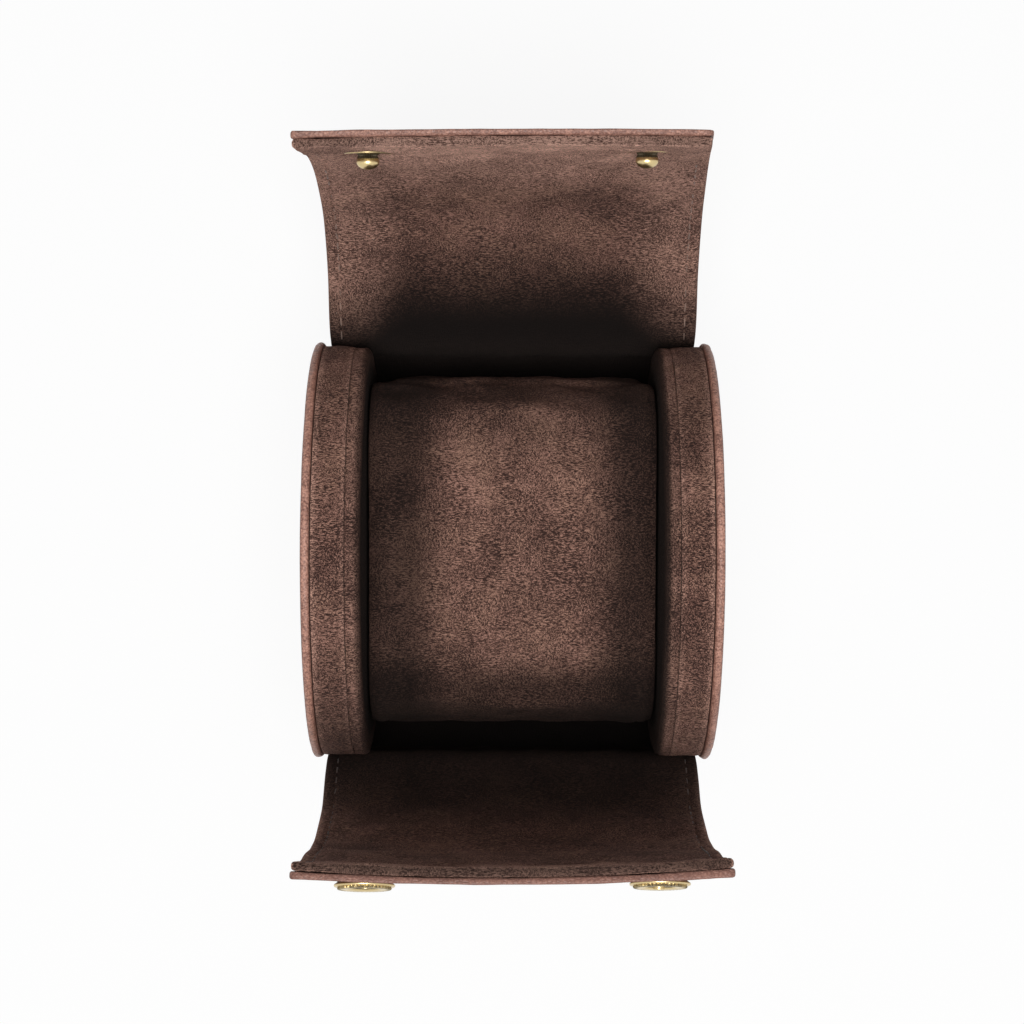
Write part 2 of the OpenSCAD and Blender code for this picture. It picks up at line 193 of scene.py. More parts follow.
class PillowSizes(bpy.types.PropertyGroup):
    half_width: length("Half width", "Half the width, between the two end panels", 29.1)
    most_half: length("Widest", "Furthest that a stuffed end panel stands from the middle", 29.35)
    half_length: length("Half length", "Half the length from front to back", 35.3)
    top: length("Top", "Height of the top above the table", 62.4)
    bottom: length("Bottom", "Height of the bottom above the table", 10.8)
    corner: length("Corner", "Radius of its long edges", 14)
    swell: length("Swell", "Furthest that the stuffing moves the suede", 0.9)
    seam_pinch: length("Seam pinch", "Depth of the seam round each end panel", 0.45)
    pressure: FloatProperty(name="Pressure", description="Pressure of the stuffing", default=4,
                            subtype="UNSIGNED")
    frames: whole("Frames", "Frames of cloth simulation", 20)


class SnapSizes(bpy.types.PropertyGroup):
    inset: length("Inset", "Distance of a snap's middle from the leather's side edge", 12.3)
    stud_radius: length("Stud", "Radius of the stud's dome", 2.15)
    stud_height: length("Stud height", "Height of the stud above its flange's back", 3.4)
    stud_widest: length("Stud shoulder", "Height of the widest ring of the stud", 2)
    neck_radius: length("Neck", "Radius of the stud's neck", 1.65)
    flange_radius: length("Flange", "Radius of the stud's flange", 4.7)
    flange: length("Flange thickness", "Thickness of the stud's flange", 0.5)
    socket_radius: length("Socket", "Radius of the socket's flange", 5.45)
    socket_height: length("Socket height", "Height of the socket", 2.3)
    recess: length("Recess", "Depth to which the sockets are let into the leather", 0.7)
    socket_floor: length("Socket floor", "Thickness of the socket's floor", 0.4)
    bore_radius: length("Socket bore", "Radius of the socket's bore", 2.5)
    cap_radius: length("Cap", "Radius of the cap outside the back flap", 6.2)
    cap_height: length("Cap height", "Height of the cap", 1.2)
    cap_edge: length("Cap edge", "Height of the cap's rolled rim", 0.5)
    pressed: length("Pressed", "Depth to which a cap is pressed into the leather", 0.8)
    sunk: length("Sunk", "Depth to which a stud's flange is sunk in the suede", 0.42)
    stud_shift: length("Stud shift", "How far the studs stand beyond their rivets", 0.5)
    knurl: length("Knurl", "Depth of the flutes round a stud's neck and a socket's ring", 0.13)
    seat_gap: length("Seat gap", "Air between a metal face and what it is set on", 0.02)
    tilt: FloatProperty(name="Tilt", description="How far the snaps are tilted up", default=7 * DEGREE,
                        subtype="ANGLE", unit="ROTATION")
    sides: whole("Sides", "Facets round a snap", 96)
    stud_flutes: whole("Stud flutes", "Flutes round a stud's neck", 24)
    socket_flutes: whole("Socket flutes", "Flutes round a socket's ring", 40)


class Colours(bpy.types.PropertyGroup):
    suede: colour("Suede", "Suede with its nap lying in the middle", (0.156, 0.079, 0.061))
    suede_dark: colour("Dark suede", "Suede brushed away from the light", (0.031, 0.0172, 0.0146))
    suede_light: colour("Light suede", "Suede brushed towards the light", (0.42, 0.232, 0.177))
    suede_warm: colour("Warm suede", "Light suede where its dye is yellower", (0.44, 0.26, 0.18))
    # Colour of rubbed suede, and of painted sheen
    suede_rubbed_and_sheen: colour("Rubbed suede", "Suede brushed flat, where it shines", (1.0, 0.6, 0.47))
    # Near-black colour of painted shade on the suede
    suede_in_shade: colour("Deep suede", "Suede with its pile seen end on", (0.006, 0.0042, 0.0038))
    lint: colour("Lint", "Specks of lint on the suede", (0.5, 0.4, 0.35))
    leather: colour("Leather", "Face of the leather", (0.215, 0.098, 0.072))
    leather_dark: colour("Dark leather", "Dark areas of the leather", (0.11, 0.048, 0.036))
    # Pale edge colour: rubbed leather, and painted highlight on the caps' lips
    leather_edge: colour("Rubbed leather", "Leather where it is bent or rubbed", (0.53, 0.275, 0.205))
    thread: colour("Thread", "Sewing thread", (0.27, 0.17, 0.13))
    brass: colour("Brass", "Polished antique brass", (0.66, 0.52, 0.27))
    patina: colour("Patina", "Darkened brass", (0.06, 0.045, 0.025))
    board: colour("Board", "Grey board in the caps", (0.42, 0.36, 0.29))
    foam: colour("Foam", "Foam in the caps", (0.72, 0.66, 0.52))
    floor: colour("Floor", "Floor where the case's shadow falls", (0.86, 0.86, 0.86))


class StageSettings(bpy.types.PropertyGroup):
    camera: FloatVectorProperty(name="Camera", description="Place of the camera", size=3,
                                default=(-0.0012, 0.0425, 0.5356), subtype="TRANSLATION", unit="LENGTH")
    camera_turn: FloatVectorProperty(name="Camera turn", description="Turn of the camera", size=3,
                                     default=(-4 * DEGREE, -0.12 * DEGREE, 0.17 * DEGREE),
                                     subtype="EULER", unit="ROTATION")
    lens: FloatProperty(name="Lens", description="Focal length on a 36 mm frame", default=82.48,
                        subtype="DISTANCE_CAMERA")
    lamp_watts: FloatProperty(name="Lamp", description="Power of the soft lamp overhead", default=12.5,
                              unit="POWER")
    lamp_size: length("Lamp size", "Width of the soft lamp overhead", 600)
    lamp_height: length("Lamp height", "Height of the soft lamp overhead", 1150)
    lamp_front: length("Lamp front", "How far the soft lamp stands to the front", 160)
    room_light: fraction("Room light", "Strength of the light all round", 0.13)


class CaseSettings(bpy.types.PropertyGroup):
    wrap: PointerProperty(type=WrapSizes)
    stitch: PointerProperty(type=StitchSizes)
    cap: PointerProperty(type=CapSizes)
    pillow: PointerProperty(type=PillowSizes)
    snap: PointerProperty(type=SnapSizes)
    colours: PointerProperty(type=Colours)
    stage: PointerProperty(type=StageSettings)


# Shapes as numpy arrays

def smooth_step(share):
    """0 below 0, 1 above 1, and 3t^2 - 2t^3 between."""
    t = np.clip(share, 0, 1)
    return t * t * (3 - 2 * t)


def ramp(value, start, reach):
    """0 up to start, 1 from start + reach on, and a smooth step between."""
    return smooth_step((value - start) / reach)


def bump_of(distance, reach):
    """A soft hump: 1 at distance 0, falling to 0 at reach as a raised cosine."""
    return 0.5 + 0.5 * np.cos(np.pi * np.clip(np.abs(distance) / reach, 0, 1))


def direction(angle):
    return np.stack([np.cos(angle), np.sin(angle)], -1)


def turned(points, pivot, angle):
    """Plane points turned about a pivot: p' = pivot + R(angle) (p - pivot)."""
    arm = points - pivot
    c, s = np.cos(angle), np.sin(angle)
    return pivot + np.stack([arm[..., 0] * c - arm[..., 1] * s, arm[..., 0] * s + arm[..., 1] * c], -1)


def outward(points, height):
    """Unit directions in y and z from a line along x at that height, and the distances from it."""
    arm = points[..., 1:] - (0, height)
    reach = np.linalg.norm(arm, axis=-1, keepdims=True)
    return arm / np.maximum(reach, MM), reach


def unevenness(points, wavelength, seed, waves=20):
    """A smooth random height: the sum of plane waves of about one wavelength in random directions."""
    random = np.random.default_rng(seed)
    axes = random.normal(size=(waves, 3))
    axes /= np.linalg.norm(axes, axis=1)[:, None]
    axes *= FULL_TURN / wavelength * random.uniform(0.6, 1.5, (waves, 1))
    phases = random.uniform(0, FULL_TURN, waves)
    return np.cos(points @ axes.T + phases).sum(-1) / math.sqrt(waves / 2)


def lumpiness(points, coarse, fine, share, seed):
    """Lumps of two sizes: a coarse unevenness, and a share of a fine one."""
    return unevenness(points, coarse, seed) + share * unevenness(points, fine, seed + 1)


def foot_loop(angle, radius, foot):
    """Distance from the axis of a circle with a flat foot: the smooth least of both, as a power mean."""
    # Above the axis the foot is so far off that it doesn't count
    flat = foot / np.maximum(-np.sin(angle), 1e-3)
    return (radius ** -FOOT_SHARPNESS + flat ** -FOOT_SHARPNESS) ** (-1 / FOOT_SHARPNESS)


def side_faces(rows, columns, ring):
    """Quads of a tube whose rows are closed rings; in a ring of rows the last one joins the first."""
    first = np.arange(rows * columns).reshape(rows, columns)
    after = np.roll(first, -1, axis=1)
    if ring:
        first, after = np.concatenate([first, first[:1]]), np.concatenate([after, after[:1]])
    return np.stack([first[:-1], after[:-1], after[1:], first[1:]], -1).reshape(-1, 4).tolist()


def ladder_end(row_start, columns):
    """Closes a flat ring by joining each point of its first half to the one opposite."""
    place = np.arange(columns // 2 - 1)
    opposite = columns - 1 - place
    return (np.stack([place, place + 1, opposite - 1, opposite], -1) + row_start).tolist()


def fan_end(row_start, columns, centre):
    ring = np.arange(columns)
    return np.stack([ring + row_start, np.roll(ring, -1) + row_start,
                     np.full(columns, centre)], -1).tolist()


def tube(grid, ends):
    """Points and faces of a closed tube through the rings of grid[row, column].

    ends is "ladder" for a flat strip's outline, "fan" for a round one, and "ring" where the last row
    joins the first.
    """
    rows, columns = grid.shape[:2]
    points = grid.reshape(-1, 3)
    faces = side_faces(rows, columns, ends == "ring")
    last_row = (rows - 1) * columns
    if ends == "ladder":
        faces += ladder_end(0, columns) + ladder_end(last_row, columns)
    elif ends == "fan":
        faces += fan_end(0, columns, len(points)) + fan_end(last_row, columns, len(points) + 1)
        points = np.concatenate([points, [grid[0].mean(0), grid[-1].mean(0)]])
    return points, faces


def paint(mesh, attribute, values):
    """Stores one number for each point, which a material reads."""
    layer = mesh.attributes.new(attribute, "FLOAT", "POINT")
    layer.data.foreach_set("value", np.asarray(values, np.float32).ravel())


def add_object(name, data):
    made = bpy.data.objects.new(name, data)
    bpy.context.scene.collection.objects.link(made)
    return made


def add_piece(name, grids, ends, finish, sharp_angle=50 * DEGREE, **shades):
    """A mesh object at the origin with outward faces, smooth but for edges sharper than sharp_angle.

    It is one tube through grid[row, column] or many through grids[copy, row, column]. A shade is one
    number, or numbers for a tube's rows and columns, with 0 at the middles of its ends.
    """
    grids = grids.reshape(-1, *grids.shape[-3:])
    points, faces = [], []
    for number, grid in enumerate(grids):
        some, joined = tube(grid, ends)
        points.append(some)
        faces += [[corner + number * len(some) for corner in face] for face in joined]
    mesh = bpy.data.meshes.new(name)
    mesh.from_pydata(np.concatenate(points), [], faces)
    work = bmesh.new()
    work.from_mesh(mesh)
    bmesh.ops.recalc_face_normals(work, faces=work.faces)
    work.to_mesh(mesh)
    work.free()
    mesh.shade_smooth()
    mesh.set_sharp_from_angle(angle=sharp_angle)
    rows, columns = grids.shape[1:3]
    for attribute, values in shades.items():
        full = np.zeros(np.shape(points)[:2])
        if np.ndim(values):
            full[:, :rows * columns] = np.broadcast_to(values, (rows, columns)).ravel()
        else:
            full += values
        paint(mesh, attribute, full)
    mesh.materials.append(material(finish))
    return add_object(name, mesh)


# Shader nodes written as expressions

def operation(name, reflected=False):
    """An operator that adds its Math node, with its values the other way round when reflected."""
    def apply(wire, other):
        values = (other, wire) if reflected else (wire, other)
        return wire.graph.node("ShaderNodeMath", {"operation": name}, dict(enumerate(values)))
    return apply


class Wire:
    """The output of a shader node, which Python's operators join to Math nodes."""
    __add__, __radd__ = operation("ADD"), operation("ADD", reflected=True)
    __sub__, __rsub__ = operation("SUBTRACT"), operation("SUBTRACT", reflected=True)
    __mul__, __rmul__ = operation("MULTIPLY"), operation("MULTIPLY", reflected=True)

    def __init__(self, graph, socket):
        self.graph, self.socket = graph, socket

    def between(self, low, high):
        """0 at low and 1 at high, held outside them."""
        return self.graph.node("ShaderNodeMapRange", {"clamp": True, "interpolation_type": "SMOOTHSTEP"},
                               {"Value": self, "From Min": low, "From Max": high})


class Graph:
    """The nodes of a material or a world."""

    def __init__(self, owner):
        self.owner = owner
        owner.use_nodes = True
        self.tree = owner.node_tree
        self.tree.nodes.clear()

    def node(self, kind, settings=None, values=None, output=0):
        """A node of a kind: its settings first, then the values or wires of its sockets."""
        made = self.tree.nodes.new(kind)
        for key, value in (settings or {}).items():
            setattr(made, key, value)
        for key, value in (values or {}).items():
            shown = [socket for socket in made.inputs if socket.enabled]
            socket = made.inputs[key] if isinstance(key, int) else next(s for s in shown if s.name == key)
            if isinstance(value, Wire):
                self.tree.links.new(value.socket, socket)
            elif hasattr(value, "__len__") and len(value) == 3 and socket.type == "RGBA":
                socket.default_value = (*value, 1)
            else:
                socket.default_value = value
        return Wire(self, made.outputs[output]) if made.outputs else made

    def place(self):
        return self.node("ShaderNodeTexCoord", output="Object")

    def stretched(self, scale, turn=(0, 0, 0)):
        """Object coordinates, turned and scaled along each axis."""
        return self.node("ShaderNodeMapping", {},
                         {"Vector": self.place(), "Scale": scale, "Rotation": turn})

    def attribute(self, name):
        return self.node("ShaderNodeAttribute", {"attribute_name": name}, output="Fac")

    def noise(self, size, detail=2, roughness=0.5, distortion=0, vector=None):
        """Noise whose lumps are about size across, from 0 to 1."""
        return self.node("ShaderNodeTexNoise", {}, {
            "Vector": vector or self.place(), "Scale": 1 / size, "Detail": detail,
            "Roughness": roughness, "Distortion": distortion})

    def cells(self, size, feature="F1"):
        """Distance from the middle of the nearest cell, or from its edge, in cells about size across."""
        return self.node("ShaderNodeTexVoronoi", {"feature": feature},
                         {"Vector": self.place(), "Scale": 1 / size}, output="Distance")

    def mix(self, share, first, second):
        return self.node("ShaderNodeMix", {"data_type": "RGBA"},
                         {"Factor": share, "A": first, "B": second}, output=2)

    def bump(self, height, distance, strength):
        return self.node("ShaderNodeBump", {}, {"Height": height, "Distance": distance,
                                                "Strength": strength})

    def finish(self, **sockets):
        """Joins a Principled shader with these sockets to the output."""
        values = {key.replace("_", " "): value for key, value in sockets.items()}
        shader = self.node("ShaderNodeBsdfPrincipled", {}, values)
        self.node("ShaderNodeOutputMaterial", {}, {"Surface": shader})


def darker(tone, share):
    return tuple(share * c for c in tone)


def suede_material(g, colours):
    """Brown suede: soft brushed patches, fine dark strokes of nap that run along x, specks of lint."""
    patches = g.noise(15 * MM, detail=2, roughness=0.5, distortion=0.4)
    drifts = g.noise(4 * MM, detail=2, roughness=0.6, distortion=0.6)
    way = g.noise(7 * MM, detail=1).between(0.42, 0.62)
    level = g.noise(0.23 * MM, detail=1, distortion=0.5,
                    vector=g.stretched((0.34, 1, 1), (0.1, 0.1, 0.12)))
    astray = g.noise(0.22 * MM, detail=1, distortion=0.8,
                     vector=g.stretched((0.85, 0.65, 0.8), (0.4, 0.3, 0.8)))
    nap = (level + (astray - level) * way).between(0.22, 0.78)
    fibres = g.noise(0.18 * MM, detail=1, roughness=0.6).between(0.28, 0.72)
    # 'edge' holds rubbed wear, painted highlight on the flaps' lining and a little all over the pillow
    rubbed = g.attribute("edge")
    lie = ((patches - 0.5) * 1.4 + (drifts - 0.5) * 0.6 + nap * 1.7 + fibres * 0.9
           + rubbed * 0.25 - 0.79)
    dye = g.noise(9 * MM, detail=2, roughness=0.6).between(0.4, 0.6)
    low = g.mix(lie.between(-0.1, 0.75), colours.suede_dark, colours.suede)
    high = g.mix(dye * 0.6, colours.suede_light, colours.suede_warm)
    tone = g.mix(lie.between(0.4, 1.7), low, high)
    shining = g.mix(lie.between(-0.1, 1.3), colours.suede, colours.suede_rubbed_and_sheen)
    speck = 1 - g.cells(5.5 * MM).between(0.018, 0.034)
    specked = g.mix(speck * 0.7, g.mix(rubbed, tone, shining), colours.lint)
    # Painted shade: the suede darkens towards a near-black where its 'shade' attribute is set
    hollow = g.mix(g.attribute("shade"), specked, colours.suede_in_shade)
    g.finish(Base_Color=hollow, Roughness=0.95, Specular_IOR_Level=0.1,
             Normal=g.bump(nap * 0.8 + fibres * 0.6, 0.2 * MM, 0.8),
             Sheen_Weight=0.03, Sheen_Roughness=0.5, Sheen_Tint=(0.72, 0.5, 0.42, 1))


def leather_material(g, colours):
    """Smooth brown leather: soft clouds, a pebbled grain with creases, paler at edges as wear and painted
    highlight.
    """
    clouds = g.noise(19 * MM, detail=3, roughness=0.5, distortion=0.4).between(0.3, 0.7)
    mottle = g.noise(1.9 * MM, detail=4, roughness=0.65)
    grain = g.cells(0.85 * MM, "DISTANCE_TO_EDGE").between(0, 0.22)
    pores = g.noise(0.42 * MM, detail=2, roughness=0.7)
    body = g.mix(clouds * 0.35 + mottle * 0.5 + grain * 0.22, colours.leather_dark, colours.leather)
    # Pale edges: rubbed wear, and painted highlight on the caps' lips
    pale_edge = g.attribute("edge") * (mottle * 1.3 + pores * 2.6 - 1.35)
    g.finish(Base_Color=g.mix(pale_edge.between(0.05, 1.1), body, colours.leather_edge),
             Roughness=0.52 + mottle * 0.14 - grain * 0.1, Specular_IOR_Level=0.45,
             Normal=g.bump(grain * 0.8 + pores * 0.5 + mottle * 0.5, 0.16 * MM, 0.55),
             Coat_Weight=0.05, Coat_Roughness=0.35)


def thread_material(g, colours):
    """Waxed sewing thread, paler on the crown of its twist."""
    twist = g.noise(0.5 * MM, detail=3, roughness=0.6, vector=g.stretched((1, 0.4, 0.4)))
    tone = g.mix(twist.between(0.35, 0.7), darker(colours.thread, 0.55), colours.thread)
    # Painted shade: the thread darkens where its 'shade' attribute is set, on the front flap
    g.finish(Base_Color=g.mix(g.attribute("shade"), tone, colours.suede_dark), Roughness=0.7,
             Normal=g.bump(twist, 0.08 * MM, 0.6), Sheen_Weight=0.2)


def brass_material(g, colours):
    """Antique brass: bright where it is rubbed, dark in its hollows, with fine scratches and spots."""
    spots = g.noise(1.3 * MM, detail=4, roughness=0.65)
    scratch = g.noise(0.35 * MM, detail=2, vector=g.stretched((1, 1, 0.15)))
    dark = (g.attribute("hollow") + (spots - 0.5) * 0.9).between(0.25, 0.85)
    g.finish(Base_Color=g.mix(dark, colours.brass, colours.patina), Metallic=1 - dark * 0.35,
             Roughness=0.24 + spots * 0.12 + dark * 0.28,
             Normal=g.bump(scratch + spots * 0.5, 0.03 * MM, 0.35))


def board_material(g, colours):
    """Grey board: short paper fibres in slightly different tones."""
    fibres = g.noise(0.8 * MM, detail=4, roughness=0.7, vector=g.stretched((1, 0.3, 1)))
    g.finish(Base_Color=g.mix(fibres, darker(colours.board, 0.7), colours.board), Roughness=0.9,
             Normal=g.bump(fibres, 0.1 * MM, 0.4))


def foam_material(g, colours):
    """Open-cell foam: small pits all over."""
    pits = g.cells(1.1 * MM)
    g.finish(Base_Color=g.mix(pits, darker(colours.foam, 0.6), colours.foam), Roughness=0.95,
             Normal=g.bump(pits, 0.4 * MM, 0.7))


MATERIALS = {"suede": suede_material, "leather": leather_material, "thread": thread_material,
             "antique_brass": brass_material, "board": board_material, "foam": foam_material}


def material(finish):
    """The material of a finish, made the first time that a piece asks for it."""
    name = f"{finish}_finish"
    if name not in bpy.data.materials:
        MATERIALS[finish](Graph(bpy.data.materials.new(name)), bpy.context.scene.watch_case.colours)
    return bpy.data.materials[name]


def refinish(node, finish):
    """Gives a CAD node's own mesh a finish."""
    mesh = frame["nodes"][node].data
    mesh.materials.clear()
    mesh.materials.append(material(finish))


# The wrap: where a point of it lies

def axis_height(wrap):
    """Height of the roll's axis: that of a circle through the first hinge, cut by the flat foot.

    With that hinge at y, z and half the foot's depth f, it is (y^2 + z^2 - f^2) / 2z.
    """
    root = next(joint for joint in frame["joints"] if joint["name"] == "front_flap")
    (_, y, z), foot = root["pos_m"], wrap.foot_half
    return (y * y + z * z - foot * foot) / (2 * z)


class Flap:
    """A flap as three equal arcs: shut, they carry on the round of the roll; open, each is turned back.

    A place on it is a length along its outer face from the first hinge, and a depth inside that face.
    Plane points are measured outward and up from the roll's axis.
    """

    def __init__(self, name, wrap):
        self.name, self.side, self.wrap = name, FLAPS[name], wrap
        self.height = axis_height(wrap)
        self.straight, self.drawn, self.flat, self.curled = (
            getattr(wrap, f"{name}_{what}") for what in ("straight", "drawn", "flat", "curl"))
        self.lean = wrap.lean if name == "back" else 0.0
        joints = [joint for joint in frame["joints"] if joint["name"].startswith(f"{name}_flap")]
        self.bodies = ["case"] + [joint["child"] for joint in joints]
        hinges = np.array([self.from_case(*joint["pos_m"][1:]) for joint in joints])
        root = hinges[0]
        self.base_radius = float(np.hypot(*root))
        self.radius = self.base_radius + (wrap.back_spread if name == "back" else 0)
        self.root_angle = math.atan2(root[1], root[0])
        steps = np.diff(hinges, axis=0)
        self.turn = 2 * math.asin(np.hypot(*steps[0]) / 2 / self.radius)
        slopes = np.arctan2(steps[:, 1], steps[:, 0])
        self.kinks = [self.root_angle + QUARTER_TURN + self.turn / 2 - slopes[0],
                      slopes[0] + self.turn - slopes[1], joints[2]["range_deg"][1] * DEGREE]
        self.step = self.radius * self.turn
        self.length = len(joints) * self.step
        self.centre = root - self.radius * direction(self.root_angle)
        angles = self.root_angle + self.turn * np.arange(len(joints))
        self.shut_hinges = self.centre + self.radius * direction(angles)

    def from_case(self, y, z):
        return self.side * y, z - self.height

    def to_case(self, points):
        return self.side * points[..., 0], points[..., 1] + self.height

    def shut(self, along, depth):
        """Places on the shut flap: an arc about its own centre, and the roll's arc before the first hinge."""
        along, depth = np.broadcast_arrays(np.asarray(along, float), np.asarray(depth, float))
        flap = self.centre + (self.radius + self.stray(along) - depth)[..., None] * direction(
            self.root_angle + along / self.radius)
        roll = (self.base_radius - depth)[..., None] * direction(self.root_angle + along / self.base_radius)
        return np.where(along[..., None] > 0, flap, roll)

    def stray(self, along):
        """How far outside its arc the flap lies: flattened at its middle, drawn in as t^2, then straight."""
        past, reach = along - self.length + self.straight, self.wrap.drawn_reach
        before, after = np.clip(past / reach + 1, 0, 1), np.maximum(past, 0)
        drawn = self.drawn * (before ** 2 + 2 * after / reach)
        flattened = self.flat * bump_of(along / self.step - FLAT_MIDDLE, FLAT_REACH) ** 2
        return after ** 2 / (2 * self.radius) - drawn - flattened

    def curl(self, across, along):
        """How far a place is curled inward: a square and a skewed line across, growing along the flap."""
        share, aside = np.clip(along / self.length, 0, 1), across / self.wrap.leather_half
        return share * (self.curled * aside ** 2 - self.side * self.wrap.skew * aside)

    def sideways(self, along):
        """How far a place is drawn aside, as the cube of its share of the flap's length."""
        return -self.lean * np.clip(along / self.length, 0, 1) ** 3

    def carried(self, points, folds):
        """Shut places turned back at the first so many hinges."""
        for number in reversed(range(folds)):
            points = turned(points, self.shut_hinges[number], -self.kinks[number])
        return points

    def zone(self, fold):
        """The two ends, on the open flap's outer face, of what bends at a hinge."""
        return [self.carried(self.shut(fold * self.step + way * self.wrap.fold_reach, 0), fold + after)
                for after, way in enumerate((-1, 1))]

    def open(self, along, depth, fold):
        """Places on the open flap near one hinge: the turn at it grows with the distance along its zone.

        The turn depends on where the point ends up, so it is found by repeating until it settles.
        """
        shut = self.shut(along, depth)
        start, end = self.zone(fold)
        chord, reach = end - start, self.wrap.fold_reach
        weight = ramp(along, fold * self.step - reach, 2 * reach)
        for _ in range(SETTLING_STEPS):
            near = turned(shut, self.shut_hinges[fold], -weight * self.kinks[fold])
            placed = self.carried(near, fold)
            share = (placed - start) @ chord / (chord @ chord)
            weight = (weight + smooth_step(share)) / 2
        return placed


class Base:
    """The stretch of wrap under the roll. Its lengths run from straight below the axis, + to the back."""
    name, flap, free_end = "base", None, False

    def __init__(self, flaps, wrap):
        self.radius, self.height = flaps[0].base_radius, flaps[0].height
        front, back = (flap.base_radius * (flap.root_angle + QUARTER_TURN) - wrap.base_overlap
                       for flap in flaps)
        self.first, self.last = -front, back

    def place(self, along, depth):
        """The round of the roll with its flat foot, as y and z of the case."""
        angle = along / self.radius - QUARTER_TURN
        reach = foot_loop(angle, self.radius - depth, self.height - depth)
        return reach * np.cos(angle), np.maximum(reach * np.sin(angle) + self.height, 0)

    def node(self, layer):
        return f"wrap_{layer}_base"

    def join(self, piece):
        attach(piece, "case")


class Bend:
    """The stretch of a flap that bends at one of its hinges."""

    def __init__(self, flap, fold):
        self.name, self.flap, self.fold = f"{flap.name}_{FOLD_NAMES[fold]}", flap, fold
        self.free_end = fold == len(FOLD_NAMES) - 1
        self.first = (fold - 0.5) * flap.step if fold else -flap.wrap.base_overlap
        self.last = flap.length if self.free_end else (fold + 0.5) * flap.step

    def place(self, along, depth):
        return self.flap.to_case(self.flap.open(along, depth, self.fold))

    def node(self, layer):
        return f"{self.flap.name}_{layer}_{self.fold + 1}"

    def join(self, piece):
        flap, fold = self.flap, self.fold
        start, end = ((0, *map(float, flap.to_case(point))) for point in flap.zone(fold))
        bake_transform(piece)


def stretches(wrap):
    """The base, then the three stretches of each flap."""
    flaps = [Flap(name, wrap) for name in FLAPS]
    return [Base(flaps, wrap)] + [Bend(flap, fold) for flap in flaps for fold in range(len(FOLD_NAMES))]


# The wrap: strips of leather and of suede panel

def strip_columns(half, pitch, seam, seam_reach):
    """Places across a strip: evenly spaced, and four times as close round its two stitch lines."""
    fine = np.arange(-seam_reach, seam_reach, pitch / 4) + seam
    even = np.arange(pitch / 2, half, pitch)
    even = even[np.abs(even - seam) > seam_reach + pitch / 4]
    one_side = np.sort(np.concatenate([even, fine[fine < half]]))
    return np.concatenate([-one_side[::-1], one_side])


def strip_rows(first, last, pitch, edge, free_end):
    """Lengths along a strip, and how far each row is drawn in to round a free end."""
    rows = np.linspace(first, last - edge if free_end else last, max(3, round((last - first) / pitch)))
    inset = np.zeros(len(rows))
    if free_end:
        turn = np.linspace(0, QUARTER_TURN, 6)[1:]
        rows = np.concatenate([rows, last - edge + edge * np.sin(turn)])
        inset = np.concatenate([inset, edge - edge * np.cos(turn)])
    return rows[:, None], inset[:, None]


class StripSection:
    """Outline of a flat strip with rounded edges, from the middle of its left edge round and back.

    Each point has a place across the strip, a depth, and the direction in which it faces.
    """

    def __init__(self, half, thickness, edge, columns):
        turn = np.linspace(0, QUARTER_TURN, 5)
        columns = columns[np.abs(columns) < half - edge]
        flat = np.zeros(len(columns))
        side, drop = half - edge + edge * np.cos(turn), edge - edge * np.sin(turn)
        across = np.concatenate([-side, columns, side[::-1]])
        depth = np.concatenate([drop, flat, drop[::-1]])
        facing_across = np.concatenate([-np.cos(turn), flat, np.cos(turn[::-1])])
        facing_in = np.concatenate([-np.sin(turn), flat - 1, -np.sin(turn[::-1])])
        self.across = np.concatenate([across, across[::-1]])
        self.depth = np.concatenate([depth, thickness - depth[::-1]])
        self.facing_across = np.concatenate([facing_across, facing_across[::-1]])
        self.facing_in = np.concatenate([facing_in, -facing_in[::-1]])


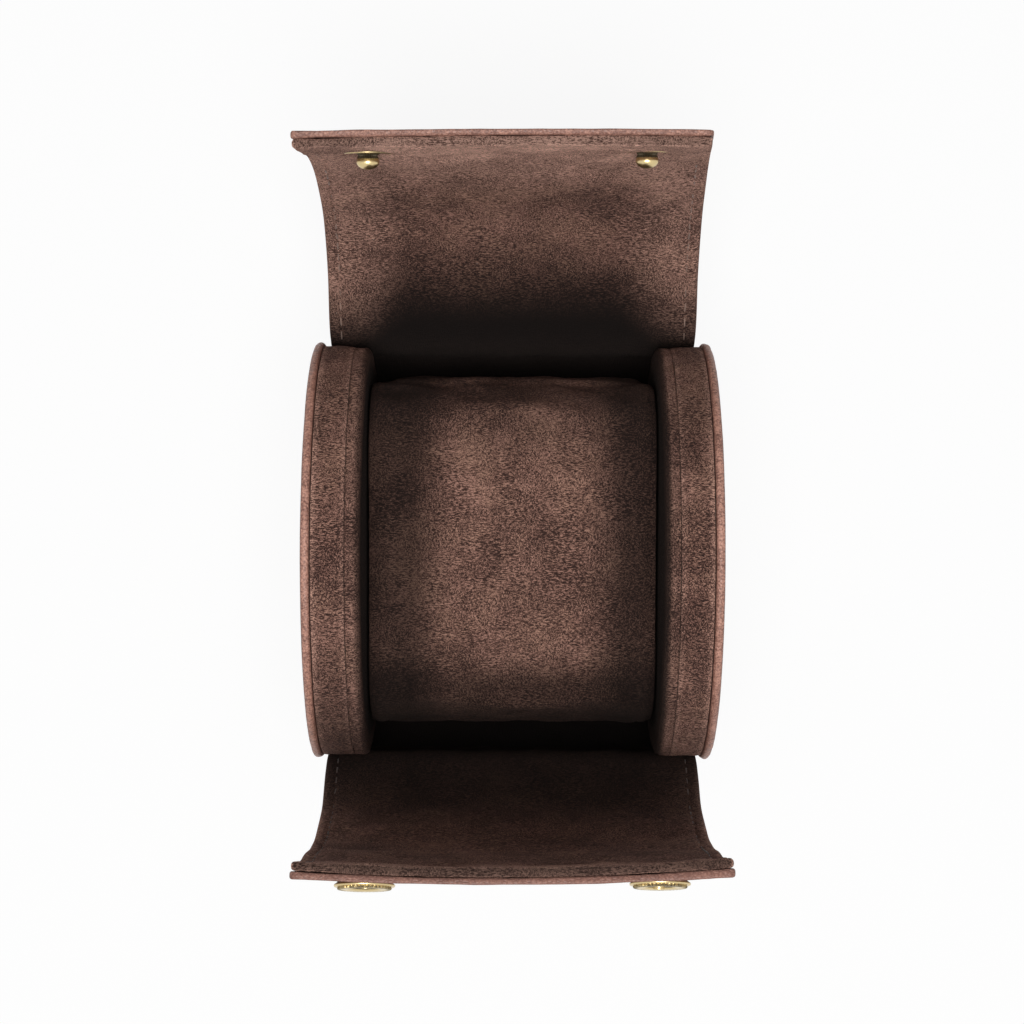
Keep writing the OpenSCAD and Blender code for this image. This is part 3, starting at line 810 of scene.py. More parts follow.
class Layer:
    """One layer of the wrap: the leather, or the lining, which is the board with its suede."""

    def __init__(self, kind):
        case = bpy.context.scene.watch_case
        wrap, stitch, leather = case.wrap, case.stitch, kind == "leather"
        self.kind, self.wrap, self.stitch = kind, wrap, stitch
        self.finish = "leather" if leather else "suede"
        self.replaced = ("leather",) if leather else ("lining", "board")
        self.half = wrap.leather_half if leather else wrap.panel_half
        self.top = 0.0 if leather else wrap.leather
        self.edge = wrap.leather_edge if leather else wrap.panel_edge
        self.end_back = 0.0 if leather else wrap.panel_back
        self.seam = wrap.leather_half - stitch.inset
        self.groove = stitch.groove * (LEATHER_GROOVE if leather else 1)
        self.lumps = wrap.lumps * (LEATHER_LUMPS if leather else 1)
        columns = strip_columns(self.half, wrap.grid, self.seam, stitch.groove_reach)
        self.section = StripSection(self.half, wrap.leather if leather else wrap.panel, self.edge, columns)

    def build(self):
        for stretch in stretches(self.wrap):
            flap = stretch.flap
            end = flap.length - self.end_back if flap else stretch.last
            rows, inset = strip_rows(stretch.first, min(stretch.last, end), self.wrap.grid, self.edge,
                                     stretch.free_end)
            made = add_piece(f"{self.kind}_{stretch.name}", self.grid(stretch, rows, inset, end), "ladder",
                             self.finish, **self.shades(rows, end, flap))
            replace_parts(made, *(stretch.node(layer) for layer in self.replaced))
            stretch.join(made)

    def shades(self, rows, end, flap):
        """Edge paleness as wear and painted highlight; on the lining also its painted highlight and painted
        shade.
        """
        rubbed = self.wear(rows, end, flap)
        if self.kind == "leather":
            return {"edge": rubbed}
        return {"edge": LINING_WEAR * rubbed + self.painted_highlight(rows, flap),
                "shade": self.painted_shade(rows, end, flap)}

    def grid(self, stretch, rows, inset, end):
        """Points of a strip: its outline at each row, drawn in near a free end and raised by its relief.

        A flap's corners are round, the middle of its free edge is bowed, and it is curled and drawn aside.
        """
        section, wrap, flap = self.section, self.wrap, stretch.flap
        across = section.across - inset * section.facing_across
        depth = section.depth - inset * section.facing_in + self.top
        along = np.broadcast_to(rows, across.shape)
        if flap:
            to_end = np.clip(wrap.corner - (end - along), 0, wrap.corner)
            cut = wrap.corner - np.sqrt(wrap.corner ** 2 - to_end ** 2)
            across = across * (1 - cut / self.half)
            last_third = smooth_step(np.clip(along / end, 0, 1) * 3 - 2)
            along = along + wrap.bow * (1 - (across / self.half) ** 2) * last_third
            # The outer face curls less than the rest, so that the corners are a little thicker
            followed = OUTER_CURL + (1 - OUTER_CURL) * np.clip(depth / wrap.leather, 0, 1)
            depth = depth + flap.curl(across, along) * followed
            across = across + flap.sideways(along)
        smooth = np.stack([across, *stretch.place(along, depth)], -1)
        raised = self.relief(smooth, across, along) * np.where(inset > 0, END_RELIEF, 1)
        faces = np.where(np.abs(section.facing_in) > 0.9, np.sign(section.facing_in), 0)
        return np.stack([across, *stretch.place(along, depth + faces * raised)], -1)

    def relief(self, points, across, along):
        """Soft lumps, less the lines that the stitches draw in, most where a thread dives in."""
        lumps = lumpiness(points, 17 * MM, 6 * MM, 0.5, 3)
        line = bump_of(np.abs(across) - self.seam, self.stitch.groove_reach)
        pull = 0.8 + 0.2 * np.cos(FULL_TURN * along / self.stitch.pitch)
        return self.lumps * lumps * (1 - 0.6 * line) - self.groove * line * pull

    def wear(self, rows, end, flap):
        """Paleness of a strip's edges, as wear and painted highlight: sides and free end, less on the front
        flap.
        """
        sides = bump_of(self.half - np.abs(self.section.across), 2.2 * MM)
        if flap is None:
            return EDGE_PALENESS * sides
        rubbed = FRONT_EDGE_PALENESS if flap.name == "front" else EDGE_PALENESS
        return rubbed * np.maximum(sides, bump_of(end - rows, 2.4 * MM))

    def painted_highlight(self, rows, flap):
        """Painted highlight on a flap's lining: lighter at its sides and towards its free end."""
        if flap is None:
            return 0
        across = np.abs(self.section.across)
        if flap.name == "front":
            aside = ramp(across, self.half - 1.6 * MM, 1.2 * MM)
            return np.maximum(0.3 * aside, 0.42 * ramp(rows, flap.length - 21 * MM, 16 * MM))
        aside = ramp(across, 20 * MM, 10 * MM)
        upper = ramp(rows, 38 * MM, 34 * MM) * (1 - 0.6 * aside)
        return np.clip(0.22 * aside + 0.95 * upper, 0, 1)

    def painted_shade(self, rows, end, flap):
        """Painted shade on the lining: all over the base, ever less along a flap, and at its free end."""
        if flap is None:
            return 1
        strength, start, reach, sooner, free_end_shade = FLAP_PAINTED_SHADE[flap.name]
        aside = ramp(np.abs(self.section.across), 20 * MM, 16 * MM)
        left = strength * (1 - ramp(rows + sooner * aside, start, reach))
        return np.maximum(left, free_end_shade * ramp(rows, end - 0.55 * MM, 0.4 * MM))


# Stitching

class Stitching:
    """Stitch lines near both side edges: on the outside all along the wrap, on the inside of its flaps."""

    def __init__(self):
        case = bpy.context.scene.watch_case
        self.wrap, self.stitch = case.wrap, case.stitch
        self.seam = case.wrap.leather_half - case.stitch.inset
        self.outside = case.stitch.groove * LEATHER_GROOVE
        self.inside = case.wrap.leather + case.wrap.panel - case.stitch.groove

    def build(self):
        inset, pitch = self.stitch.inset, self.stitch.pitch
        for stretch in stretches(self.wrap):
            flap, first, last = stretch.flap, stretch.first, stretch.last
            faces = [(first, self.outside, -1)]
            if flap:
                last = min(last, flap.length - inset + pitch / 2)
                faces.append((max(first, 0), self.inside, 1))
            lines = [self.line(stretch, self.middles(start, last), side * self.seam, depth, facing_in,
                               2 * number + side + 1)
                     for number, (start, depth, facing_in) in enumerate(faces) for side in SIDES.values()]
            made = add_piece(f"stitching_{stretch.name}", np.concatenate(lines), "fan", "thread",
                             shade=FRONT_THREAD_PAINTED_SHADE if flap and flap.name == "front" else 0.0)
            stretch.join(made)

    def middles(self, first, last):
        """Middles of the whole stitches between two lengths, at the same pitch all along."""
        pitch = self.stitch.pitch
        numbers = np.arange(math.ceil(first / pitch - 0.5), math.floor(last / pitch - 0.5) + 1)
        middles = (numbers + 0.5) * pitch
        return middles[(middles - pitch / 2 >= first - TINY) & (middles < last - pitch / 2 + TINY)]

    def line(self, stretch, middles, across, depth, facing_in, seed):
        """A line of stitches: each is a thread that rises from the surface and dives back in at both ends.

        Along a stitch t runs from -1 to 1: its centre stands r (0.55 - 1.3 t^4) off the surface, less a
        random sinking, and its radius is about r sqrt(1 - 0.8 t^4).
        """
        random, stitch, each = np.random.default_rng(seed), self.stitch, (len(middles), 1, 1)
        t = np.linspace(-1, 1, STITCH_RINGS)[None, :, None]
        ring = np.linspace(0, FULL_TURN, THREAD_POINTS, endpoint=False)[None, None, :]
        slant = random.normal(0, 0.06, each)
        sink = random.uniform(0, 0.3, each)
        radius = stitch.thread * np.sqrt(1 - 0.8 * t ** 4) * random.uniform(0.85, 1.1, each)
        lift = stitch.thread * (0.55 - sink - 1.3 * t ** 4) + radius * np.sin(ring)
        along = middles[:, None, None] + t * stitch.long / 2 + 0 * ring
        sideways = across + slant * t * stitch.long / 2 + radius * np.cos(ring)
        if stretch.flap:
            depth = depth + stretch.flap.curl(sideways, along)
            sideways = sideways + stretch.flap.sideways(along)
        return np.stack([sideways, *stretch.place(along, depth + facing_in * lift)], -1)


# End caps

def arc_profile(centre_x, centre_inset, radius, first, last, count):
    """Points on part of a circle in a cap's section, from one angle to another."""
    turn = np.linspace(first, last, count)
    return np.stack([centre_x + radius * np.cos(turn), centre_inset - radius * np.sin(turn),
                     np.ones(count)], -1)


def flat_rows(x, inset, shares=(1,), crown=0.0):
    """Rows of a cap's flat face, crowned at its middle as 1 - s^2."""
    shares = np.asarray(shares)
    return np.stack([x + crown * (1 - shares ** 2), np.full(len(shares), inset), shares], -1)


class CapBuilder:
    """The leather disc, the suede band and the padded suede face of one end cap.

    A profile is rows of (place along x, inset from the rim, share of the way out).
    """

    def __init__(self, name):
        case = bpy.context.scene.watch_case
        self.name, self.side, self.cap, self.stitch = name, SIDES[name], case.cap, case.stitch
        self.height = axis_height(case.wrap)
        self.angles = np.linspace(0, FULL_TURN, self.cap.sides, endpoint=False)

    def build(self):
        """The disc, band and face, attached to the case; the band, the face and the board and foam get own
        meshes.
        """
        disc, band, face = self.disc(), self.band(), self.face()
        for made in (disc, band, face):
            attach(made, "case")
        inside = [frame["nodes"][f"cap_{layer}_{self.name}"] for layer in ("foam", "board")]
        for soft in (band, face, *inside):
            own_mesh(soft)

    def surface(self, profile, radius, foot_room, lumps, seed):
        """Rings round the roll's axis: at angle a a ring is share * loop(a) away, moved out by soft lumps.

        The loop is the rim's circle with its flat foot, both drawn in by the inset.
        """
        x, inset, share = (column[:, None] for column in profile.T)
        reach = foot_loop(self.angles, radius - inset, self.height - foot_room - inset) * share
        grid = np.stack([self.side * x + 0 * reach, reach * np.cos(self.angles),
                         reach * np.sin(self.angles) + self.height], -1)
        lumps = lumps * lumpiness(grid, 14 * MM, 4 * MM, 0.6, seed)
        grid[..., 1:] += outward(grid, self.height)[0] * lumps[..., None]
        return grid

    def suede(self, profile, lumps, seed):
        """A surface whose pile stands up on its upper half, where the wrap doesn't press it."""
        cap = self.cap
        grid = self.surface(profile, cap.radius - SUEDE_INSET, cap.foot_room, lumps, seed + self.side)
        away, reach = outward(grid, self.height)
        grid[..., 1:] += away * reach / cap.radius * cap.pile * ramp(away[..., 1:], -0.02, 0.2)
        return grid

    def cap_painted_shade(self, grid, profile, *others):
        """Painted shade on a cap's suede: in the crease of the seam, beside the disc, and where others give
        it.

        It is also darker towards one end: the left cap's towards its front, the right cap's towards its back.
        """
        cap, x = self.cap, profile[:, 0]
        near = np.minimum(np.abs(x - cap.seam), np.abs(x - (cap.outer - cap.disc)))
        brushed = 0.3 * ramp(self.side * grid[..., 1], 12 * MM, 22 * MM)
        rows = np.maximum.reduce([0.5 * smooth_step(1.2 - near / (0.22 * MM)), *others])
        return np.maximum(rows[:, None], brushed)

    def disc(self):
        """A leather disc with a round rim, and a line pressed into its outer face as a soft groove."""
        cap, edge, inner = self.cap, self.cap.disc / 2, self.cap.outer - self.cap.disc
        spread = np.linspace(0.04, 1, 22)
        crease = np.linspace(-1, 1, 9)
        line = np.stack([cap.outer - 0.22 * MM * bump_of(crease, 1), cap.crease - crease * 0.55 * MM,
                         np.ones(len(crease))], -1)
        profile = np.concatenate([
            flat_rows(cap.outer, 4 * MM, spread, 0.25 * MM), flat_rows(cap.outer, 3.5 * MM), line,
            flat_rows(cap.outer, 1.5 * MM), arc_profile(cap.outer - edge, edge, edge, 0, math.pi, 17),
            flat_rows(inner, 2 * MM), flat_rows(inner, 4 * MM, spread[::-1])])
        grid = self.surface(profile, cap.disc_radius, cap.disc_foot_room, 0.07 * MM, 20 + self.side)
        # The rim's pale colour is rubbed wear, and painted highlight on the lip
        rim = bump_of(profile[:, 1], 1.1 * MM) * (profile[:, 2] > 0.99)
        made = add_piece(f"leather_disc_{self.name}", grid, "fan", "leather", edge=rim[:, None])
        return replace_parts(made, f"end_disc_{self.name}")

    def band(self):
        """The suede band between the disc and the seam: a ring whose section is a strip with rolled edges."""
        cap, roll = self.cap, self.cap.roll
        outer = cap.outer - cap.disc - 0.12 * MM
        flat = np.linspace(outer - roll, cap.seam + roll, 14)[1:-1]
        middle, half = (outer + cap.seam) / 2, (outer - cap.seam) / 2
        crown = 0.18 * MM * (1 - ((flat - middle) / half) ** 2)
        over = np.stack([flat, -crown, np.ones(len(flat))], -1)
        under = np.stack([flat[::-1], np.full(len(flat), cap.suede), np.ones(len(flat))], -1)
        profile = np.concatenate([
            arc_profile(outer - roll, roll, roll, 0, QUARTER_TURN, 5), over,
            arc_profile(cap.seam + roll, roll, roll, QUARTER_TURN, math.pi, 5), under])
        grid = self.suede(profile, 0.1 * MM, 30)
        x = profile[:, 0]
        wear = 0.3 * bump_of(x - outer, 1.6 * MM) + 0.18 * bump_of(x - cap.seam, 1.4 * MM)
        made = add_piece(f"suede_band_{self.name}", grid, "ring", "suede", edge=wear[:, None],
                         shade=self.cap_painted_shade(grid, profile))
        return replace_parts(made, f"cap_gusset_{self.name}")

    def face(self):
        """The padded face: a rolled edge at the seam, a round shoulder and a flat panel, as a thin shell."""
        cap, roll, shoulder = self.cap, self.cap.roll, self.cap.shoulder
        spread = np.linspace(0.03, 1, 26)
        profile = np.concatenate([
            flat_rows(cap.inner + cap.suede, shoulder + 1.5 * MM, spread),
            arc_profile(cap.inner + shoulder, shoulder, shoulder - cap.suede, math.pi, QUARTER_TURN, 8),
            flat_rows(cap.seam - roll, cap.suede),
            arc_profile(cap.seam - roll, roll, roll, 0, QUARTER_TURN, 6),
            arc_profile(cap.inner + shoulder, shoulder, shoulder, QUARTER_TURN, math.pi, 14)[:-1],
            flat_rows(cap.inner, shoulder + 0.3 * MM),
            flat_rows(cap.inner, shoulder + 1.5 * MM, spread[::-1])])
        x, inset, share = profile.T
        grid = self.suede(profile, 0.12 * MM, 40)
        stitches = round(FULL_TURN * cap.radius / self.stitch.pitch)
        near_seam = bump_of(x - cap.seam, 2.2 * MM) * (inset < cap.suede * 0.7)
        pucker = 0.0016 * near_seam[:, None] * np.cos(self.angles * stitches)
        away, reach = outward(grid, self.height)
        grid[..., 1:] -= away * reach * pucker[..., None]
        wear = 0.1 * bump_of(inset, 1.4 * MM) * (x < cap.seam - roll) * (share > 0.99)
        # Painted shade past the shoulder, and down the wall below the rim
        shoulder_shade = (0.75 + 0.13 * self.side) * ramp(cap.seam - roll - x, 0.7 * MM, 1.6 * MM)
        below = ramp(cap.radius - (cap.radius - inset) * share, 0.1 * MM, 5.5 * MM) ** 0.6
        made = add_piece(f"suede_face_{self.name}", grid, "fan", "suede", edge=wear[:, None],
                         shade=self.cap_painted_shade(grid, profile, shoulder_shade, below))
        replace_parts(made, f"cap_face_{self.name}")
        return made


# Pillow

def rounded_outline(count, half_length, half_height, corner):
    """Points at equal distances round a rectangle with round corners, as y and z about its middle."""
    turns = np.linspace(0, QUARTER_TURN, 40)
    centres = np.array([(1, 1), (-1, 1), (-1, -1), (1, -1)]) * (half_length - corner, half_height - corner)
    arcs = [centre + corner * direction(turns + quarter * QUARTER_TURN)
            for quarter, centre in enumerate(centres)]
    loop = np.concatenate(arcs + [arcs[0][:1]])
    walked = np.concatenate([[0], np.cumsum(np.linalg.norm(np.diff(loop, axis=0), axis=1))])
    stops = np.linspace(0, walked[-1], count, endpoint=False)
    return np.stack([np.interp(stops, walked, loop[:, axis]) for axis in (0, 1)], -1)


def pillow_rows(sizes):
    """Rows from one end panel's middle to the other's: place along x, and share of the outline."""
    edge = PILLOW_EDGE
    turn = np.linspace(0, QUARTER_TURN, 4)
    corner_share = 1 - (edge - edge * np.sin(turn)) / sizes.half_length
    panel_share = np.linspace(0.06, 1, 22)[:-1] * corner_share[0]
    sleeve = np.linspace(-1, 1, 60)[1:-1] * (sizes.half_width - edge)
    end_x = np.concatenate([np.full(len(panel_share), sizes.half_width),
                            sizes.half_width - edge + edge * np.cos(turn)])
    end_share = np.concatenate([panel_share, corner_share])
    return (np.concatenate([-end_x, sleeve, end_x[::-1]]),
            np.concatenate([end_share, np.ones(len(sleeve)), end_share[::-1]]))


def swollen(piece, pinned, sizes):
    """The piece's points after its suede has been blown up by the stuffing, with its seams pinned."""
    group = piece.vertex_groups.new(name="seams")
    group.add(np.flatnonzero(pinned).tolist(), 1.0, "REPLACE")
    cloth = piece.modifiers.new("Cloth", "CLOTH")
    cloth.settings.vertex_group_mass = group.name
    for setting, value in CLOTH.items():
        setattr(cloth.settings, setting, value)
    cloth.settings.uniform_pressure_force = sizes.pressure
    cloth.settings.effector_weights.gravity = 0
    scene = bpy.context.scene
    for number in range(1, sizes.frames + 1):
        scene.frame_set(number)
    shown = piece.evaluated_get(bpy.context.evaluated_depsgraph_get())
    moved = np.zeros(len(shown.data.vertices) * 3)
    shown.data.vertices.foreach_get("co", moved)
    piece.modifiers.remove(cloth)
    piece.vertex_groups.remove(group)
    scene.frame_set(1)
    return moved.reshape(-1, 3)


def hold_within(rest, moved, limit):
    """Moves softly held back: a move of any length d becomes limit * tanh(d / limit)."""
    step = moved - rest
    size = np.linalg.norm(step, axis=1, keepdims=True)
    return rest + step * limit * np.tanh(size / limit) / np.maximum(size, TINY)


def pillow_painted_shade(points, top):
    """Painted shade on the pillow: beside the middle, down the flanks, and towards front and back."""
    x, y, z = points.T
    aside = 0.76 * ramp(np.abs(x - 1.2 * MM), 11.5 * MM, 11 * MM)
    below = 0.45 * ramp(top - z, 0, 9 * MM)
    front = 0.68 * ramp(-y, 17 * MM, 10 * MM)
    back = 0.36 * ramp(y, 14 * MM, 16 * MM) * (1 - ramp(y, 31.5 * MM, 4 * MM))
    return 1 - (1 - aside) * (1 - below) * (1 - front) * (1 - back)


def build_pillow():
    """A stuffed suede pillow: a rounded outline carried along x between two end panels, swollen as cloth."""
    sizes = bpy.context.scene.watch_case.pillow
    middle, half_height = (sizes.top + sizes.bottom) / 2, (sizes.top - sizes.bottom) / 2
    outline = rounded_outline(PILLOW_COLUMNS, sizes.half_length, half_height, sizes.corner)
    x, share = pillow_rows(sizes)
    rings = share[:, None, None] * outline + (0, middle)
    grid = np.concatenate([np.broadcast_to(x[:, None, None], (*rings.shape[:2], 1)), rings], -1)
    # edge 0.05 lightens the whole pillow a little towards the rubbed and sheen colour
    piece = add_piece("suede_pillow", grid, "fan", "suede", sharp_angle=math.pi, edge=0.05)
    moved = tube(grid, "fan")[0]
    on_rings = grid.shape[0] * grid.shape[1]
    rim = (sizes.half_width - np.abs(x) < 0.5 * MM) & (share > 0.96)
    pinned = np.zeros(len(moved))
    pinned[:on_rings] = np.repeat(rim, PILLOW_COLUMNS)
    moved = hold_within(moved, swollen(piece, pinned, sizes), sizes.swell)
    body = moved[:on_rings].reshape(grid.shape)
    body[..., 0] = np.clip(body[..., 0], -sizes.most_half, sizes.most_half)
    at_seam = bump_of(sizes.half_width - PILLOW_EDGE - np.abs(x), 1.0 * MM) * (share > 0.985)
    lumps = 0.16 * MM * lumpiness(body, 11 * MM, 4 * MM, 0.4375, 61)
    lumps = lumps * (share[:, None] > 0.9) - (at_seam * sizes.seam_pinch)[:, None]
    body[..., 1:] += outward(body, middle)[0] * lumps[..., None]
    piece.data.vertices.foreach_set("co", moved.astype(np.float32).ravel())
    paint(piece.data, "shade", pillow_painted_shade(moved, sizes.top))
    finer = piece.modifiers.new("Subdivision", "SUBSURF")
    finer.levels = finer.render_levels = 1
    piece.data.update()
    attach(piece, "pillow")
    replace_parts(piece, "pillow_foam", "pillow_sleeve", "pillow_end_left", "pillow_end_right")


# Snaps

def lathed(profile, sides, flutes=0, depth=0.0):
    """A profile of (radius, height) turned round +z, its radius waved by depth * cos(flutes * angle)."""
    angle = np.linspace(0, FULL_TURN, sides, endpoint=False)
    radius = profile[:, :1] + np.reshape(depth, (-1, 1)) * np.cos(flutes * angle)
    return np.stack([radius * np.cos(angle), radius * np.sin(angle), profile[:, 1:] + 0 * angle], -1)


def section_arc(centre, radius, first, last, count, stretch=1.0):
    """Profile points on part of an ellipse, its height stretched, from one angle to another in degrees."""
    turn = np.linspace(first, last, count) * DEGREE
    return np.stack([centre[0] + radius * np.cos(turn), centre[1] + radius * stretch * np.sin(turn)], -1)


def stud_profile(s):
    """Flange with a rolled rim, a drawn-in neck and a flattened dome."""
    rim = s.flange / 2
    shoulder = (0, s.stud_widest)
    dome = (s.stud_height - s.stud_widest) / s.stud_radius
    return np.concatenate([
        [[0.3 * MM, 0], [2 * MM, 0], [3.6 * MM, 0]],
        section_arc((s.flange_radius - rim, rim), rim, -90, 90, 7),
        [[3.9 * MM, 0.34 * MM], [3.2 * MM, 0.3 * MM], [2.5 * MM, 0.34 * MM], [2.1 * MM, 0.46 * MM]],
        [[s.neck_radius + 0.15 * MM, 0.62 * MM], [s.neck_radius, 0.85 * MM]],
        section_arc(shoulder, s.stud_radius, -38, 0, 7, 0.8),
        section_arc(shoulder, s.stud_radius, 8, 82, 12, dome),
        [[0.1 * MM, s.stud_height]]])


def socket_profile(s):
    """Ring with a floor: a waist on the leather, a thin smooth flange, a knurled boss and a flared bore."""
    outer, top, floor, bore = s.socket_radius, s.socket_height, s.socket_floor, s.bore_radius
    waist, rim = outer - 0.6 * MM, s.recess + 0.85 * MM
    return np.concatenate([
        [[1.08 * MM, 0], [3 * MM, 0]],
        section_arc((waist - 0.3 * MM, 0.3 * MM), 0.3 * MM, -90, 0, 4),
        [[waist, s.recess + 0.3 * MM]],
        section_arc((outer - 0.26 * MM, rim), 0.26 * MM, -70, 90, 10),
        [[outer - 0.5 * MM, rim + 0.2 * MM], [outer - 0.72 * MM, rim + 0.24 * MM]],
        section_arc((outer - 1.0 * MM, top - 0.26 * MM), 0.26 * MM, -30, 90, 8),
        [[bore + 0.75 * MM, top - 0.06 * MM], [bore + 0.3 * MM, top - 0.2 * MM]],
        [[bore + 0.05 * MM, top - 0.5 * MM], [bore + 0.02 * MM, floor + 0.3 * MM]],
        [[bore - 0.25 * MM, floor], [1.5 * MM, floor], [1.08 * MM, floor]]])


def outer_cap_profile(s):
    """Low dome with a rolled rim, and a rivet through the flap behind it."""
    rivet, back, roll = 1.0 * MM, -3.9 * MM, s.cap_edge / 2
    dome, foot = s.cap_radius - 0.5 * MM, s.cap_edge - 0.05 * MM
    return np.concatenate([
        [[0.2 * MM, back], [rivet, back], [rivet, -0.05 * MM], [rivet + 0.1 * MM, 0], [4.5 * MM, 0]],
        section_arc((s.cap_radius - roll, roll), roll, -90, 60, 7),
        [[s.cap_radius - 0.45 * MM, s.cap_edge - 0.02 * MM]],
        section_arc((0, foot), dome, 4, 84, 16, (s.cap_height - foot) / dome),
        [[0.15 * MM, s.cap_height]]])


class SnapBuilder:
    """Snap fasteners: a part is turned once and set at both places on a flap."""

    def __init__(self):
        case = bpy.context.scene.watch_case
        self.snap, self.wrap = case.snap, case.wrap
        self.front, self.back = (Flap(name, case.wrap) for name in FLAPS)

    def build(self):
        self.studs()
        self.sockets()
        self.caps()
        refinish("snap_rivets", "antique_brass")

    def place(self, name, grid, flap, node, depth, hollow, facing_in=False, tilt=0.0, shift=0.0):
        """Sets a turned part, with +z off the flap, where a CAD node stands on the flap's last arc.

        It stands twice, at a depth near each side edge, tilted up and shifted towards the free end.
        """
        low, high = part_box(node)
        centre = flap.carried(flap.centre, len(FOLD_NAMES))
        arm = flap.from_case((low.y + high.y) / 2, (low.z + high.z) / 2) - centre
        angle = math.atan2(arm[1], arm[0])
        along = np.array((angle - flap.root_angle + sum(flap.kinks)) * flap.radius)
        out, sign = direction(angle), -1 if facing_in else 1
        uphill = np.array([-out[1], out[0]])
        x, up, off = (grid[..., axis:axis + 1] for axis in range(3))
        off, up = (off * math.cos(tilt) + up * math.sin(tilt),
                   up * math.cos(tilt) - off * math.sin(tilt) + shift)
        both = []
        for side in SIDES.values():
            across = side * (self.wrap.leather_half - self.snap.inset)
            radius = flap.radius + flap.stray(along) - flap.curl(across, along) - depth
            y, z = flap.to_case(centre + (radius + sign * off) * out + up * uphill)
            both.append(np.stack([x[..., 0] + across + flap.sideways(along), y, z], -1))
        made = add_piece(name, np.array(both), "fan", "antique_brass", sharp_angle=40 * DEGREE,
                         hollow=hollow[:, None])
        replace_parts(made, node)
        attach(made, flap.bodies[3])

    def studs(self):
        s, profile = self.snap, stud_profile(self.snap)
        radius, height = profile.T
        neck = (height > 0.38 * MM) & (height < 1.4 * MM) & (radius < 3 * MM)
        grid = lathed(profile, s.sides, s.stud_flutes, s.knurl * neck)
        depth = self.wrap.leather + self.wrap.panel - s.sunk
        self.place("brass_studs", grid, self.back, "snap_studs", depth,
                   0.95 * neck + 0.5 * (height <= 0.38 * MM) + 0.1, True, s.tilt, s.stud_shift)

    def sockets(self):
        s, profile = self.snap, socket_profile(self.snap)
        radius, height = profile.T
        boss = (radius > s.socket_radius - 1.1 * MM) & (height > s.socket_height - 0.45 * MM)
        waist = (radius < s.socket_radius - 0.5 * MM) & (height < s.recess + 0.6 * MM)
        bore = (radius < s.bore_radius + 0.4 * MM) & (height < s.socket_height - 0.25 * MM)
        grid = lathed(profile, 2 * s.sides, s.socket_flutes, s.knurl * boss)
        self.place("brass_sockets", grid, self.front, "snap_sockets", s.recess - s.seat_gap,
                   0.8 * waist + 0.9 * bore * (1 - waist) + 0.55 * boss + 0.08, tilt=-s.tilt)

    def caps(self):
        s, profile = self.snap, outer_cap_profile(self.snap)
        radius, height = profile.T
        groove = bump_of(radius - (s.cap_radius - 0.5 * MM), 0.45 * MM) * (height > 0.3 * MM)
        self.place("brass_caps", lathed(profile, s.sides), self.back, "snap_caps", s.pressed,
                   0.8 * groove + 0.3)


# Stage

def seen_rays(g):
    """1 for rays that show a surface as it is: to the camera, in a reflection or through a clear body."""
    camera, glossy, through = (g.node("ShaderNodeLightPath", output=f"Is {ray} Ray")
                               for ray in ("Camera", "Glossy", "Transmission"))
    return camera + glossy + through


def floor_material(tone):
    """White floor: it keeps the object's shadow, and shows nearly pure white where there is none."""
    g = Graph(bpy.data.materials.new("white_floor"))
    plain = g.node("ShaderNodeBsdfDiffuse", {}, {"Color": tone})
    bright = g.node("ShaderNodeEmission", {}, {"Color": (1, 1, 1), "Strength": 1.0})
    shader = g.node("ShaderNodeMixShader", {}, {0: seen_rays(g) * 0.9, 1: plain, 2: bright})
    g.node("ShaderNodeOutputMaterial", {}, {"Surface": shader})
    return g.owner


def room(stage):
    """A world that is white to look at, and lights the case less than that."""
    g = Graph(bpy.data.worlds.new("room"))
    strength = stage.room_light + seen_rays(g) * (1 - stage.room_light)
    light = g.node("ShaderNodeBackground", {}, {"Color": (1, 1, 1), "Strength": strength})
    g.node("ShaderNodeOutputWorld", {}, {"Surface": light})
    return g.owner


# Operators

class WATCHCASE_OT_stage(bpy.types.Operator):
    """Set the floor, the soft light and the camera"""
    bl_idname = "watch_case.stage"
    bl_label = "Stage"

    def execute(self, context):
        scene = context.scene
        stage = scene.watch_case.stage
        mesh = bpy.data.meshes.new("floor")
        corners = FLOOR_HALF * np.array([(-1, -1, 0), (1, -1, 0), (1, 1, 0), (-1, 1, 0)])
        mesh.from_pydata(corners, [], [(0, 1, 2, 3)])
        mesh.materials.append(floor_material(scene.watch_case.colours.floor))
        add_object("floor", mesh)

        lamp = add_object("soft_lamp", bpy.data.lights.new("soft_lamp", "AREA"))
        lamp.data.shape, lamp.data.size, lamp.data.energy = "DISK", stage.lamp_size, stage.lamp_watts
        lamp.location = (0, -stage.lamp_front, stage.lamp_height)
        lamp.rotation_euler = (-math.atan2(stage.lamp_front, stage.lamp_height), 0, 0)

        camera = add_object("camera", bpy.data.cameras.new("camera"))
        camera.data.lens, camera.data.sensor_width = stage.lens, 36
        camera.location, camera.rotation_euler = stage.camera, stage.camera_turn
        scene.camera, scene.world = camera, room(stage)
        scene.view_settings.view_transform = "Standard"
        return {"FINISHED"}


class WATCHCASE_OT_leather(bpy.types.Operator):
    """Build the leather of the wrap: its base and both flaps"""
    bl_idname = "watch_case.leather"
    bl_label = "Leather wrap"

    def execute(self, context):
        Layer("leather").build()
        return {"FINISHED"}


class WATCHCASE_OT_lining(bpy.types.Operator):
    """Build the suede panels that line the wrap"""
    bl_idname = "watch_case.lining"
    bl_label = "Suede lining"

    def execute(self, context):
        Layer("lining").build()
        return {"FINISHED"}


class WATCHCASE_OT_stitching(bpy.types.Operator):
    """Sew the wrap along both its side edges"""
    bl_idname = "watch_case.stitching"
    bl_label = "Stitching"

    def execute(self, context):
        Stitching().build()
        return {"FINISHED"}


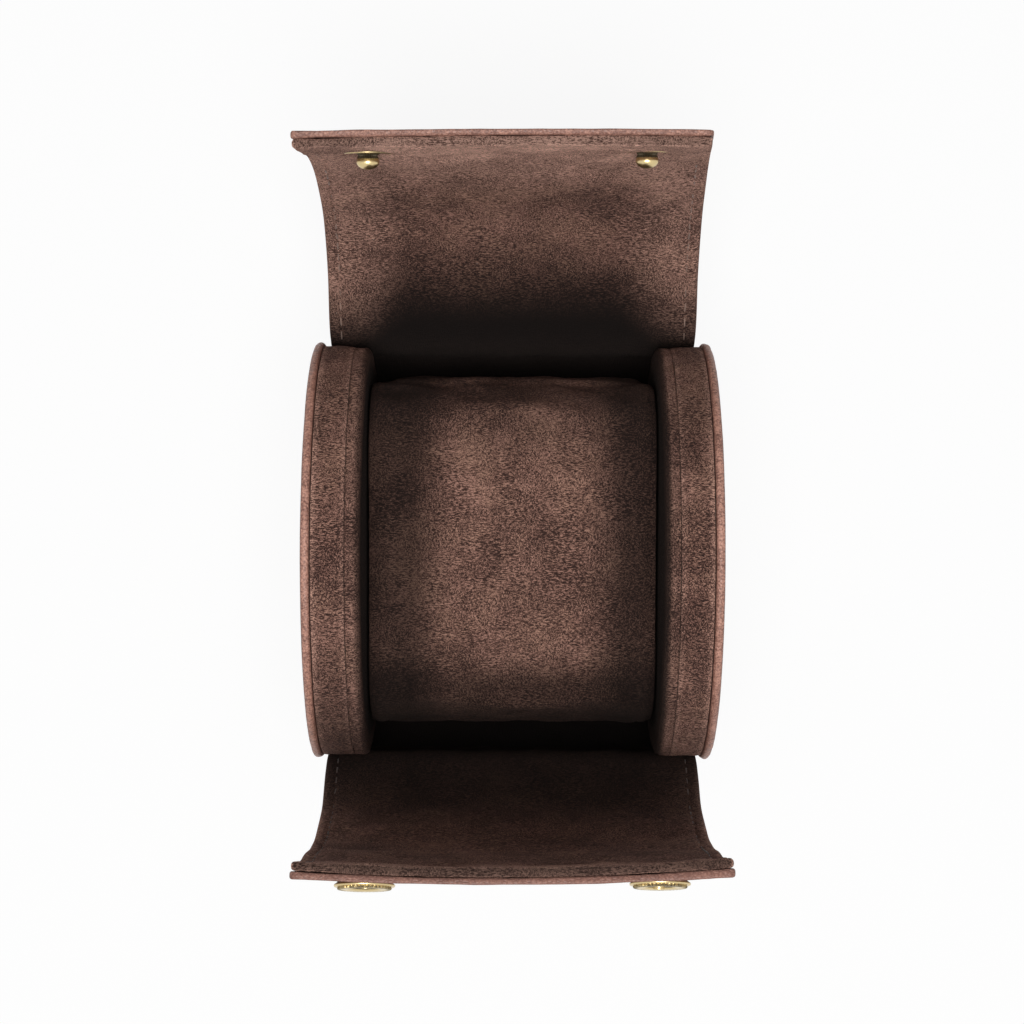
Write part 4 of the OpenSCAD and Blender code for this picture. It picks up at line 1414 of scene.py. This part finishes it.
class WATCHCASE_OT_caps(bpy.types.Operator):
    """Build the two end caps, and finish the board and foam inside them"""
    bl_idname = "watch_case.caps"
    bl_label = "End caps"

    def execute(self, context):
        for name in SIDES:
            CapBuilder(name).build()
            for finish in ("board", "foam"):
                refinish(f"cap_{finish}_{name}", finish)
        return {"FINISHED"}


class WATCHCASE_OT_pillow(bpy.types.Operator):
    """Build the stuffed suede pillow that holds the watch"""
    bl_idname = "watch_case.pillow"
    bl_label = "Pillow"

    def execute(self, context):
        build_pillow()
        return {"FINISHED"}


class WATCHCASE_OT_snaps(bpy.types.Operator):
    """Build the studs, sockets and caps of the two snaps, and finish their rivets"""
    bl_idname = "watch_case.snaps"
    bl_label = "Snaps"

    def execute(self, context):
        SnapBuilder().build()
        return {"FINISHED"}


OPERATORS = (WATCHCASE_OT_stage, WATCHCASE_OT_leather, WATCHCASE_OT_lining, WATCHCASE_OT_stitching,
             WATCHCASE_OT_caps, WATCHCASE_OT_pillow, WATCHCASE_OT_snaps)


class WATCHCASE_PT_panel(bpy.types.Panel):
    """Lists the steps that build the case"""
    bl_idname = "WATCHCASE_PT_panel"
    bl_label = "Watch travel case"
    bl_space_type = "VIEW_3D"
    bl_region_type = "UI"
    bl_category = "Watch case"

    def draw(self, context):
        for operator in OPERATORS:
            self.layout.operator(operator.bl_idname)


GROUPS = (WrapSizes, StitchSizes, CapSizes, PillowSizes, SnapSizes, Colours, StageSettings, CaseSettings)
CLASSES = (*GROUPS, *OPERATORS, WATCHCASE_PT_panel)


def register():
    for cls in CLASSES:
        bpy.utils.register_class(cls)
    bpy.types.Scene.watch_case = PointerProperty(type=CaseSettings)


def unregister():
    del bpy.types.Scene.watch_case
    for cls in reversed(CLASSES):
        bpy.utils.unregister_class(cls)


def main():
    register()
    bpy.ops.watch_case.stage()
    bpy.ops.watch_case.leather()
    bpy.ops.watch_case.lining()
    bpy.ops.watch_case.stitching()
    bpy.ops.watch_case.caps()
    bpy.ops.watch_case.pillow()
    bpy.ops.watch_case.snaps()


if __name__ == "__main__":
    main()
